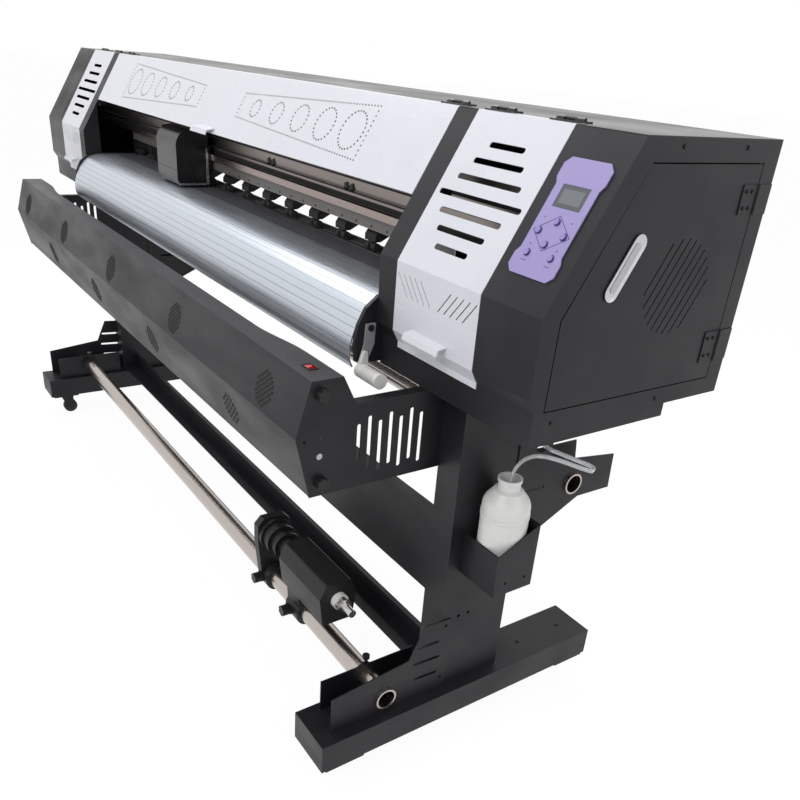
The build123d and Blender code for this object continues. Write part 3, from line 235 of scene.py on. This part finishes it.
GRAIN = grain_group()
BRUSHED = brushed_group()


def finish_of(name):
    """A new material with its shader, and nothing set yet."""
    material = bpy.data.materials.new(name)
    material.use_nodes = True
    return material, material.node_tree, material.node_tree.nodes["Principled BSDF"]


def bump(tree, shader, height, strength, distance):
    """Puts a height on the shader's normal."""
    node = tree.nodes.new("ShaderNodeBump")
    node.inputs["Strength"].default_value = strength
    node.inputs["Distance"].default_value = distance
    tree.links.new(height, node.inputs["Height"])
    tree.links.new(node.outputs["Normal"], shader.inputs["Normal"])


def grained(name, colour, dusty=None, gloss=(0.35, 0.5), grain=600.0, relief=0.15, shine=0.5, coat=0.0):
    """Paint, moulded plastic or rubber with grain, smears and a little dust."""
    material, tree, shader = finish_of(name)
    group = tree.nodes.new("ShaderNodeGroup")
    group.node_tree = GRAIN
    group.inputs["Grain Scale"].default_value = grain
    group.inputs["Gloss Low"].default_value, group.inputs["Gloss High"].default_value = gloss
    group.inputs["Colour"].default_value = (*colour, 1)
    group.inputs["Dusty"].default_value = (*(dusty or colour), 1)
    tree.links.new(group.outputs["Colour"], shader.inputs["Base Color"])
    tree.links.new(group.outputs["Roughness"], shader.inputs["Roughness"])
    shader.inputs["Specular IOR Level"].default_value = shine
    shader.inputs["Coat Weight"].default_value = coat
    shader.inputs["Coat Roughness"].default_value = 0.12
    bump(tree, shader, group.outputs["Height"], relief, 0.0004)
    return material, tree, shader, group


def drawn_metal(name, colour, gloss=(0.2, 0.38), relief=0.2):
    """Bare metal with drawn or brushed lines."""
    material, tree, shader = finish_of(name)
    group = tree.nodes.new("ShaderNodeGroup")
    group.node_tree = BRUSHED
    group.inputs["Gloss Low"].default_value, group.inputs["Gloss High"].default_value = gloss
    shader.inputs["Base Color"].default_value = (*colour, 1)
    shader.inputs["Metallic"].default_value = 1.0
    tree.links.new(group.outputs["Roughness"], shader.inputs["Roughness"])
    bump(tree, shader, group.outputs["Height"], relief, 0.0002)
    return material, tree, shader, group


def axes_of(tree):
    """The x, y and z of object coordinates."""
    parts = tree.nodes.new("ShaderNodeSeparateXYZ")
    tree.links.new(place_of(tree), parts.inputs[0])
    return parts.outputs


def repaint(tree, shader, group, mask, colour):
    """Changes the colour of a grained finish where the mask is 1."""
    tree.links.new(mixed(tree, mask, group.outputs["Colour"], colour), shader.inputs["Base Color"])


def in_band(tree, value, low, high):
    """1 where the value lies between low and high."""
    return sum_of(tree, "MULTIPLY", sum_of(tree, "GREATER_THAN", value, low), sum_of(tree, "LESS_THAN", value, high))

def cover_finish():
    """White gloss paint, with black hinge leaves on the cover's top edge."""
    material, tree, shader, group = grained("white_gloss_paint", (0.70, 0.71, 0.77), (0.66, 0.67, 0.725), (0.2, 0.34),
                                            500.0, 0.05, coat=0.25)
    x, y, z = axes_of(tree)
    repaint(tree, shader, group, sum_of(tree, "GREATER_THAN", z, 1.29705), (0.012, 0.012, 0.013))
    return material


# ------------------------------------------------------------------ finishes
black_coat = grained("black_powder_coat", (0.0105, 0.0100, 0.0130), (0.019, 0.018, 0.021), (0.36, 0.52), 900.0, 0.22,
                    shine=0.3)[0]
top_coat = grained("black_top_coat", (0.014, 0.0105, 0.0105), (0.023, 0.018, 0.018), (0.26, 0.40), 900.0, 0.15,
                  shine=0.4)[0]
black_plastic = grained("black_moulding", (0.009, 0.009, 0.010), (0.018, 0.018, 0.019), (0.38, 0.52), 1200.0,
                         0.25, shine=0.35)[0]
carriage_skin = grained("carriage_moulding", (0.008, 0.008, 0.009), (0.013, 0.013, 0.014), (0.2, 0.34), 1200.0, 0.1)[0]
rubber = grained("black_rubber", (0.018, 0.018, 0.018), (0.035, 0.034, 0.033), (0.6, 0.8), 700.0, 0.3)[0]

cover_white = cover_finish()
lilac = grained("lilac_film", (0.34, 0.29, 0.56), (0.32, 0.275, 0.53), (0.3, 0.42), 1500.0, 0.12)[0]
key_film = grained("key_film", (0.30, 0.25, 0.56), (0.27, 0.23, 0.50), (0.3, 0.4), 1500.0, 0.12)[0]
# near-black discs for the cover's punched holes: painted shade in the holes, not print
perforation_shade = grained("painted_perforation_shade", (0.012, 0.011, 0.014), None, (0.45, 0.6), 1500.0, 0.05)[0]
mark_violet = grained("printed_violet", (0.07, 0.05, 0.20), None, (0.4, 0.5), 1500.0, 0.05)[0]
screen = grained("screen_glass", (0.10, 0.11, 0.12), (0.09, 0.10, 0.11), (0.08, 0.16), 800.0, 0.02)[0]
red_plastic = grained("red_rocker", (0.55, 0.015, 0.012), (0.42, 0.02, 0.015), (0.22, 0.34), 900.0, 0.08)[0]
bottle_hdpe = grained("bottle_hdpe", (0.80, 0.80, 0.79), (0.72, 0.71, 0.69), (0.3, 0.45), 300.0, 0.12)
bottle_hdpe[2].inputs["Subsurface Weight"].default_value = 0.15
bottle_hdpe[2].inputs["Subsurface Radius"].default_value = (0.02, 0.02, 0.02)
bottle_hdpe = bottle_hdpe[0]
tube_pvc, tube_tree, tube_shader, tube_group = grained("clear_pvc", (0.82, 0.83, 0.85), (0.70, 0.71, 0.74), (0.1, 0.2),
                                                        400.0, 0.05)
tube_shader.inputs["Transmission Weight"].default_value = 0.55
tube_shader.inputs["IOR"].default_value = 1.3
steel = drawn_metal("drawn_steel_tube", (0.50, 0.45, 0.42), (0.20, 0.28), 0.03)[0]
zinc = drawn_metal("zinc_plate", (0.42, 0.42, 0.43), (0.3, 0.45), 0.05)[0]
bright_steel = drawn_metal("bright_steel", (0.55, 0.55, 0.57), (0.22, 0.34), 0.05)[0]
rail_steel = drawn_metal("ground_rail", (0.34, 0.28, 0.265), (0.22, 0.32), 0.05)[0]
beam_metal = drawn_metal("beam_anodised", (0.27, 0.235, 0.22), (0.3, 0.42), 0.05)[0]
# near-black for slits, slots, holes, grooves and a seam: painted shade in those openings
gap_shade = grained("painted_gap_shade", (0.006, 0.006, 0.007), None, (0.7, 0.8), 500.0, 0.05)[0]


def platen_finish():
    """Anodised extrusion with narrow grooves along it, bumped in and darkened with painted shade."""
    material, tree, shader, group = drawn_metal("platen_anodised", (0.66, 0.69, 0.74), (0.26, 0.40), 0.1)
    shader.inputs["Metallic"].default_value = 0.85
    x, y, z = axes_of(tree)
    along = sum_of(tree, "ADD", y, z)
    across = sum_of(tree, "FRACT", sum_of(tree, "DIVIDE", along, 0.021))
    shaded_groove = sum_of(tree, "LESS_THAN", across, 0.085)
    # the grooves' darker colour is painted shade
    tree.links.new(mixed(tree, shaded_groove, (0.60, 0.64, 0.70), (0.30, 0.32, 0.36)), shader.inputs["Base Color"])
    height = sum_of(tree, "SUBTRACT", group.outputs["Height"], sum_of(tree, "MULTIPLY", shaded_groove, 6.0))
    bump(tree, shader, height, 0.35, 0.0003)
    return material


def bed_finish():
    """Grey plate punched with a close grid of suction holes, each painted near-black as the shade inside it."""
    material, tree, shader, group = grained("bed_plate", (0.10, 0.103, 0.112), (0.13, 0.132, 0.14), (0.38, 0.5), 800.0,
                                            0.2)
    x, y, z = axes_of(tree)
    pitch = 0.009
    parts = [sum_of(tree, "SUBTRACT", sum_of(tree, "FRACT", sum_of(tree, "DIVIDE", value, pitch)), 0.5)
             for value in (x, y)]
    radius = sum_of(tree, "SQRT", sum_of(tree, "ADD", sum_of(tree, "MULTIPLY", parts[0], parts[0]),
                                         sum_of(tree, "MULTIPLY", parts[1], parts[1])))
    # painted shade: a near-black disc on the top face at each suction hole
    hole_shade = sum_of(tree, "MULTIPLY", sum_of(tree, "LESS_THAN", radius, 0.22), sum_of(tree, "GREATER_THAN", z, 0.985))
    repaint(tree, shader, group, hole_shade, (0.006, 0.006, 0.007))
    return material


def scale_finish():
    """Pale ruled strip: a tick each centimetre, a longer one each five."""
    material, tree, shader, group = grained("ruled_strip", (0.16, 0.15, 0.14), (0.14, 0.13, 0.12), (0.3, 0.4), 900.0,
                                            0.05)
    x, y, z = axes_of(tree)
    short = sum_of(tree, "LESS_THAN", sum_of(tree, "FRACT", sum_of(tree, "DIVIDE", x, 0.010)), 0.1)
    long = sum_of(tree, "LESS_THAN", sum_of(tree, "FRACT", sum_of(tree, "DIVIDE", x, 0.050)), 0.025)
    ticks = sum_of(tree, "MAXIMUM", sum_of(tree, "MULTIPLY", short, sum_of(tree, "GREATER_THAN", z, 1.052)),
                   sum_of(tree, "MULTIPLY", long, sum_of(tree, "GREATER_THAN", z, 1.047)))
    repaint(tree, shader, group, ticks, (0.05, 0.045, 0.04))
    return material


def coupling_finish():
    """Steel spindle with a white nylon collar against the motor."""
    material, tree, shader, group = drawn_metal("spindle_steel", (0.50, 0.49, 0.48), (0.24, 0.34), 0.05)
    x, y, z = axes_of(tree)
    collar = in_band(tree, x, 0.9055, 0.9185)
    tree.links.new(mixed(tree, collar, (0.62, 0.61, 0.60), (0.80, 0.79, 0.76)), shader.inputs["Base Color"])
    tree.links.new(spread(tree, collar, 0.0, 1.0, 1.0, 0.0), shader.inputs["Metallic"])
    return material


def lever_finish():
    """Grey arm with a white ribbed grip."""
    material, tree, shader, group = grained("lever_grip", (0.72, 0.72, 0.70), (0.62, 0.61, 0.58), (0.35, 0.5), 700.0,
                                            0.12)
    x, y, z = axes_of(tree)
    repaint(tree, shader, group, sum_of(tree, "LESS_THAN", x, 0.9471), (0.30, 0.30, 0.31))
    return material


def motor_finish():
    """Black bracket and mouldings with a faint casting texture."""
    return grained("motor_casting", (0.016, 0.016, 0.017), (0.032, 0.031, 0.03), (0.34, 0.5), 420.0, 0.45)[0]


NODE_FINISHES = {
    "legs": black_coat, "lower_beam": black_coat, "cross_panel": black_coat, "takeup_brackets": black_coat,
    "rear_brackets": black_coat, "steel_tubes": steel, "dryer_housing": black_coat, "dryer_ends": black_coat,
    "heaters": zinc, "thumb_screws": black_plastic, "beam": beam_metal, "rail": rail_steel, "belt": rubber,
    "motors": motor_finish(), "platen": platen_finish(), "vacuum_bed": bed_finish(), "left_tower": black_coat,
    "right_tower": black_coat, "top_cover": top_coat, "hinges": black_plastic, "keypad": lilac,
    "capping_station": black_plastic, "bottle_holder": black_coat, "waste_bottle": bottle_hdpe,
    "takeup_motor": black_plastic, "drive_chuck": coupling_finish(), "motor_knob": black_plastic,
    "roll_holder": black_plastic, "roll_cone": black_plastic, "holder_knob": black_plastic, "blower_rotor": zinc,
    "rocker_switch": red_plastic, "carriage": carriage_skin, "drive_pulley": zinc, "idler_pulley": zinc,
    "grit_roller": zinc, "pinch_arms": black_plastic, "pinch_rollers": rubber, "pinch_lever": lever_finish(),
    "long_cover": cover_white, "left_cover": cover_white, "right_cover": cover_white, "right_door": black_coat,
}
for key in ("key_up", "key_down", "key_left", "key_right", "key_menu", "key_enter"):
    NODE_FINISHES[key] = key_film
for corner in ("left_front", "left_back", "right_front", "right_back"):
    NODE_FINISHES["caster_fork_" + corner] = black_coat
    NODE_FINISHES["caster_wheel_" + corner] = rubber
for node, finish in NODE_FINISHES.items():
    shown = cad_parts[node]
    for material_slot in shown.material_slots:
        material_slot.material = finish
for tube in (tube_a, tube_b):
    tube.data.materials.append(tube_pvc)


# ------------------------------------------------------------------ new pieces
def piece(name, shape, material, body="machine"):
    """Turns a finished bmesh into a piece that rides on a body."""
    mesh = bpy.data.meshes.new(name)
    bmesh.ops.recalc_face_normals(shape, faces=shape.faces)
    shape.to_mesh(mesh)
    shape.free()
    mesh.materials.append(material)
    made = bpy.data.objects.new(name, mesh)
    bpy.context.collection.objects.link(made)
    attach(made, body)
    return made


def add_box(shape, low, high, turn=None, edge=0.0):
    """A box between two corners, or one of that size turned and moved by a matrix."""
    size = [b - a for a, b in zip(low, high)]
    middle = Vector([(a + b) / 2 for a, b in zip(low, high)])
    place = (turn or Matrix.Identity(4)) @ Matrix.Translation(middle) @ Matrix.Diagonal((*size, 1))
    made = bmesh.ops.create_cube(shape, size=1.0, matrix=place)
    if edge:
        edges = {e for v in made["verts"] for e in v.link_edges}
        bmesh.ops.bevel(shape, geom=list(edges), offset=edge, segments=2, profile=0.5, affect="EDGES", material=-1)


def add_disc(shape, at, out, radius, thickness, segments=8):
    """A short round disc standing on a surface at a point, along its outward direction."""
    place = Matrix.Translation(Vector(at) + out * (thickness / 2)) @ out.to_track_quat("Z", "Y").to_matrix().to_4x4()
    bmesh.ops.create_cone(shape, cap_ends=True, segments=segments, radius1=radius, radius2=radius, depth=thickness,
                          matrix=place)


def surface_turn(origin, along, out):
    """A matrix that stands a piece on a surface: its X runs along, its Z points out."""
    across = out.cross(along)
    return Matrix.Translation(origin) @ Matrix((along, across, out)).transposed().to_4x4()


ALONG = Vector((1, 0, 0))
FORWARD = Vector((0, -1, 0))
RIGHTWARD = Vector((1, 0, 0))


def dotted(shape, points, pitch, radius):
    """Punched dots, drawn as dark discs of painted shade, along a closed outline of (x, up the slope) points."""
    for start, end in zip(points, points[1:] + points[:1]):
        start, end = Vector(start), Vector(end)
        count = max(1, round((end - start).length / pitch))
        for number in range(count):
            at = start.lerp(end, number / count)
            add_disc(shape, on_slope(at.x, at.y), SLOPE_OUT, radius, 0.0003, 8)


def perforations(name, side, inner_x, outer_x):
    """The long cover's dotted trapezoid with five dotted rings that grow outwards; its punched holes are dark discs of
    painted shade.
    """
    shape = bmesh.new()
    inner_low, inner_high, outer_low, outer_high = 0.167, 0.227, 0.141, 0.252
    dotted(shape, [(inner_x, inner_low), (outer_x, outer_low), (outer_x, outer_high), (inner_x, inner_high)],
           0.0105, 0.0019)
    for number in range(5):
        share = (number + 0.75) / 5.25
        centre_x = inner_x + (outer_x - inner_x) * share
        half = 0.5 * ((inner_high - inner_low) + share * ((outer_high - outer_low) - (inner_high - inner_low)))
        radius = half - 0.013
        count = round(2 * math.pi * radius / 0.0095)
        for step in range(count):
            turn = 2 * math.pi * step / count
            at_slope = 0.1965 + radius * math.sin(turn)
            add_disc(shape, on_slope(centre_x + radius * math.cos(turn), at_slope), SLOPE_OUT, 0.0022, 0.0003, 8)
    return piece(name, shape, perforation_shade, "long_cover")


perforations("punched_dots_right", 1, 0.151, 0.720)
perforations("punched_dots_left", -1, -0.096, -0.675)


def vent_patch(name, face, x, height):
    """A round patch of slanting louvres on one of the dryer's flat faces; the slits between them are dark strips of
    painted shade.
    """
    low, high = face
    climb = (high - low).normalized()
    out = ALONG.cross(climb)
    at = low + climb * ((height - low.z) / climb.z) + Vector((x, 0, 0))
    turn = surface_turn(at, ALONG, out)
    radius, lean = 0.033, math.radians(40)
    slits, lips = bmesh.new(), bmesh.new()
    for number in range(7):
        across = (number - 3) * 0.009
        half = math.sqrt(radius ** 2 - across ** 2) - 0.001
        row = turn @ Matrix.Rotation(lean, 4, "Z") @ Matrix.Translation((0, across, 0))
        add_box(slits, (-half, -0.0021, 0.0), (half, 0.0021, 0.0004), row)
        add_box(lips, (-half, 0.0021, 0.0), (half, 0.0034, 0.0013), row)
    piece(name + "_slits", slits, gap_shade)
    piece(name + "_lips", lips, black_coat)


for number, vent_x in enumerate((-0.902, -0.449, 0.002, 0.455, 0.896)):
    vent_patch("dryer_vent_upper_%d" % (number + 1), DRYER_UPPER, vent_x, 0.824)
for number, vent_x in enumerate((-0.634, -0.172, 0.284, 0.738)):
    vent_patch("dryer_vent_lower_%d" % (number + 1), DRYER_LOWER, vent_x, 0.723)


def screen_and_marks():
    """The keypad's screen glass, its diamond outline and the small marks round it."""
    glass = bmesh.new()
    turn = surface_turn(on_slope(1.284, 0.170), ALONG, SLOPE_OUT)
    add_box(glass, (-0.0265, -0.0170, 0.0010), (0.0265, 0.0170, 0.0016), turn, 0.0002)
    piece("screen_glass", glass, screen)
    lit = bmesh.new()
    add_box(lit, (-0.0205, -0.0110, 0.0016), (0.0205, 0.0110, 0.0018), turn)
    piece("screen_window", lit, grained("screen_grey", (0.17, 0.18, 0.20), None, (0.1, 0.2), 800.0, 0.02)[0])
    marks = bmesh.new()
    pad = surface_turn(on_slope(1.2835, 0.1145), ALONG, SLOPE_OUT)
    corners = (Vector((0.036, 0, 0)), Vector((0, 0.027, 0)), Vector((-0.036, 0, 0)), Vector((0, -0.027, 0)))
    for start, end in zip(corners, corners[1:] + corners[:1]):
        run = end - start
        place = pad @ Matrix.Translation(start) @ Matrix.Rotation(math.atan2(run.y, run.x), 4, "Z")
        add_box(marks, (0.0, -0.0005, 0.0020), (run.length, 0.0005, 0.0022), place)
    for x, up in ((0.027, 0.021), (-0.027, 0.021), (0.027, -0.021), (-0.027, -0.021)):
        add_disc(marks, pad @ Vector((x, up, 0.0020)), SLOPE_OUT, 0.0013, 0.0002, 12)
    for x in (-0.024, 0.024):
        add_box(marks, (x - 0.005, -0.0465, 0.0020), (x + 0.005, -0.0455, 0.0022), pad)
    piece("keypad_marks", marks, mark_violet)
    rings = bmesh.new()
    for x, up in ((0, 0.0175), (0, -0.0175), (-0.025, 0), (0.025, 0), (-0.024, -0.0345), (0.024, -0.0335)):
        add_disc(rings, pad @ Vector((x, up, 0.0020)), SLOPE_OUT, 0.0062, 0.0002, 24)
    piece("key_rings", rings, mark_violet)


screen_and_marks()


def stadium(shape, turn, length, width, low, high, edge=0.0):
    """An oblong with round ends, lying along the turn's X."""
    half = (length - width) / 2
    ring = []
    steps = 12
    for end, first in ((half, -math.pi / 2), (-half, math.pi / 2)):
        for step in range(steps + 1):
            angle = first + math.pi * step / steps
            at = (end + width / 2 * math.cos(angle), width / 2 * math.sin(angle), low)
            ring.append(shape.verts.new(turn @ Vector(at)))
    face = shape.faces.new(ring)
    lifted = bmesh.ops.extrude_face_region(shape, geom=[face])
    moved = [v for v in lifted["geom"] if isinstance(v, bmesh.types.BMVert)]
    bmesh.ops.translate(shape, verts=moved, vec=turn.to_3x3() @ Vector((0, 0, high - low)))
    top = [f for f in lifted["geom"] if isinstance(f, bmesh.types.BMFace)]
    return top


def door_pull():
    """The bright oblong cup pull let into the door."""
    turn = surface_turn(Vector((END_X, -0.026, 1.121)), UP_SLOPE, RIGHTWARD)
    rim = bmesh.new()
    top = stadium(rim, turn, 0.106, 0.027, 0.0020, 0.0034)
    bmesh.ops.inset_region(rim, faces=top, thickness=0.0050, use_even_offset=True)
    inner = [f for f in rim.faces if f in top]
    bmesh.ops.translate(rim, verts=list({v for f in inner for v in f.verts}), vec=Vector((-0.0011, 0, 0)))
    piece("door_pull_rim", rim, bright_steel, "right_door")
    cup = bmesh.new()
    stadium(cup, turn, 0.080, 0.0125, 0.0026, 0.0032)
    piece("door_pull_tongue", cup, zinc, "right_door")


door_pull()


def screws(name, places, out, radius, body="machine", height=0.002):
    """Round screw heads, each with a cross slot drawn as dark strips of painted shade."""
    shape = bmesh.new()
    for at in places:
        add_disc(shape, at, out, radius, height, 20)
    piece(name, shape, black_plastic, body)
    slots = bmesh.new()
    for at in places:
        turn = surface_turn(Vector(at) + out * height, out.orthogonal().normalized(), out)
        for angle in (0, math.pi / 2):
            add_box(slots, (-radius * 0.6, -radius * 0.12, 0), (radius * 0.6, radius * 0.12, 0.0002),
                    turn @ Matrix.Rotation(angle, 4, "Z"))
    piece(name + "_slots", slots, gap_shade, body)


screws("door_hinge_screws", [(END_X + 0.002, y, z) for y in (0.222, 0.236) for z in (0.957, 0.987, 1.197, 1.222)],
       RIGHTWARD, 0.003, "right_door")
screws("tower_side_screws", [(END_X, y, z) for y, z in ((0.05, 1.284), (0.20, 1.284), (-0.12, 0.895), (0.12, 0.895))],
       RIGHTWARD, 0.0035)
screws("back_cover_screws", [(x, 0.285, z) for x in (-1.30, -0.80, -0.27, 0.27, 0.80, 1.30) for z in (1.02, 1.275)],
       Vector((0, 1, 0)), 0.004)
screws("foot_screws", [(side * 1.074, y, 0.148) for side in (-1, 1) for y in (-0.30, 0.20, 0.33)], Vector((0, 0, 1)),
       0.005)


def beam_details():
    """Ruled strip, its row of holes and the groove bands along the beam; the holes and grooves are dark pieces of
    painted shade.
    """
    strip = bmesh.new()
    add_box(strip, (PRINT_X[0] + 0.004, -0.0085, 1.0375), (PRINT_X[1] - 0.004, -0.0080, 1.0600))
    piece("ruled_scale_strip", strip, scale_finish())
    holes = bmesh.new()
    for number in range(30):
        add_disc(holes, (-0.86 + 0.0605 * number, -0.0085, 1.0430), FORWARD, 0.0028, 0.0004, 12)
    piece("strip_holes", holes, gap_shade)
    bands = bmesh.new()
    add_box(bands, (-1.29, -0.0055, 1.0795), (1.29, -0.0050, 1.0905))
    add_box(bands, (-1.29, -0.0055, 1.1505), (1.29, -0.0050, 1.1615))
    piece("beam_grooves", bands, gap_shade)
    clips = bmesh.new()
    for clip_x in (0.170, 0.194, 0.546, 0.570, -0.206, -0.182, -0.582, -0.558):
        for turn in range(5):
            angle = 2 * math.pi * turn / 5
            at = (clip_x + 0.0068 * math.cos(angle), -0.0080, 1.1060 + 0.0068 * math.sin(angle))
            add_disc(clips, at, FORWARD, 0.0034, 0.0022, 12)
        add_disc(clips, (clip_x, -0.0080, 1.1060), FORWARD, 0.0050, 0.0030, 16)
    piece("beam_clips", clips, black_plastic)


beam_details()


def bottle_details():
    """The bottle's two raised ribs and the flash line down its mould seam."""
    ribs = bmesh.new()
    for height in (0.598, 0.606):
        profile = [ribs.verts.new((1.1545 + radius, 0.010, height + rise))
                   for radius, rise in ((0.0470, -0.0014), (0.0487, -0.0008), (0.0487, 0.0008), (0.0470, 0.0014))]
        edges = [ribs.edges.new(pair) for pair in zip(profile, profile[1:])]
        bmesh.ops.spin(ribs, geom=profile + edges, cent=(1.1545, 0.010, 0), axis=(0, 0, 1), angle=2 * math.pi,
                       steps=64, use_merge=True)
    piece("bottle_ribs", ribs, bottle_hdpe)
    seam = bmesh.new()
    for turn in (math.radians(-28), math.radians(152)):
        place = Matrix.Translation((1.1545, 0.010, 0)) @ Matrix.Rotation(turn, 4, "Z")
        add_box(seam, (0.0470, -0.0008, 0.4560), (0.0482, 0.0008, 0.6150), place)
    piece("bottle_seam", seam, bottle_hdpe)


bottle_details()


def carriage_details():
    """Bright head plate under the carriage, its bright edge strip and the seam of its hood, drawn as a dark strip of
    painted shade.
    """
    plate = bmesh.new()
    add_box(plate, (-0.1800, -0.1120, 0.9955), (-0.1785, -0.0270, 1.0010), edge=0.0003)
    add_box(plate, (-0.1800, -0.0330, 0.9955), (-0.1782, -0.0270, 1.0930), edge=0.0003)
    piece("carriage_bright_edges", plate, bright_steel, "carriage")
    seam = bmesh.new()
    add_box(seam, (-0.3334, -0.1184, 1.0340), (-0.1796, -0.1178, 1.0352))
    piece("carriage_seam", seam, gap_shade, "carriage")


carriage_details()


# ------------------------------------------------------------------ stage and light
def floor_and_light():
    """Plain pale floor, white surroundings and soft studio lamps."""
    bpy.ops.mesh.primitive_plane_add(size=90.0, location=(0, 0, 0))
    floor = bpy.context.object
    floor.name = "floor"
    material, tree, shader = finish_of("pale_floor")
    shader.inputs["Base Color"].default_value = (0.86, 0.86, 0.86, 1)
    shader.inputs["Roughness"].default_value = 0.9
    rays = tree.nodes.new("ShaderNodeLightPath")
    seen = sum_of(tree, "MAXIMUM", rays.outputs["Is Camera Ray"],
                  sum_of(tree, "MAXIMUM", rays.outputs["Is Glossy Ray"], rays.outputs["Is Transmission Ray"]))
    glow = tree.nodes.new("ShaderNodeEmission")
    glow.inputs["Strength"].default_value = 1.05
    blend = tree.nodes.new("ShaderNodeMixShader")
    tree.links.new(sum_of(tree, "MULTIPLY", seen, 0.9), blend.inputs[0])
    tree.links.new(shader.outputs[0], blend.inputs[1])
    tree.links.new(glow.outputs[0], blend.inputs[2])
    tree.links.new(blend.outputs[0], tree.nodes["Material Output"].inputs["Surface"])
    floor.data.materials.append(material)

    world = bpy.data.worlds.new("studio")
    bpy.context.scene.world = world
    world.use_nodes = True
    tree = world.node_tree
    back = tree.nodes["Background"]
    back.inputs["Color"].default_value = (1, 1, 1, 1)
    rays = tree.nodes.new("ShaderNodeLightPath")
    seen = sum_of(tree, "MAXIMUM", rays.outputs["Is Camera Ray"],
                  sum_of(tree, "MAXIMUM", rays.outputs["Is Glossy Ray"], rays.outputs["Is Transmission Ray"]))
    strength = spread(tree, seen, 0.0, 1.0, 0.40, 1.0)
    tree.links.new(strength, back.inputs["Strength"])

    for name, at, size, power in (("key_lamp", (1.6, -2.6, 3.4), 2.4, 66.0), ("fill_lamp", (3.4, 1.2, 2.4), 2.0, 26.0),
                                  ("top_lamp", (-1.2, 0.2, 3.6), 3.0, 62.0)):
        data = bpy.data.lights.new(name, "AREA")
        data.size = size
        data.energy = power
        lamp = bpy.data.objects.new(name, data)
        bpy.context.collection.objects.link(lamp)
        lamp.location = at
        lamp.rotation_euler = (Vector((0, 0, 0.8)) - Vector(at)).to_track_quat("-Z", "Y").to_euler()


floor_and_light()
bpy.context.scene.view_settings.view_transform = "Standard"
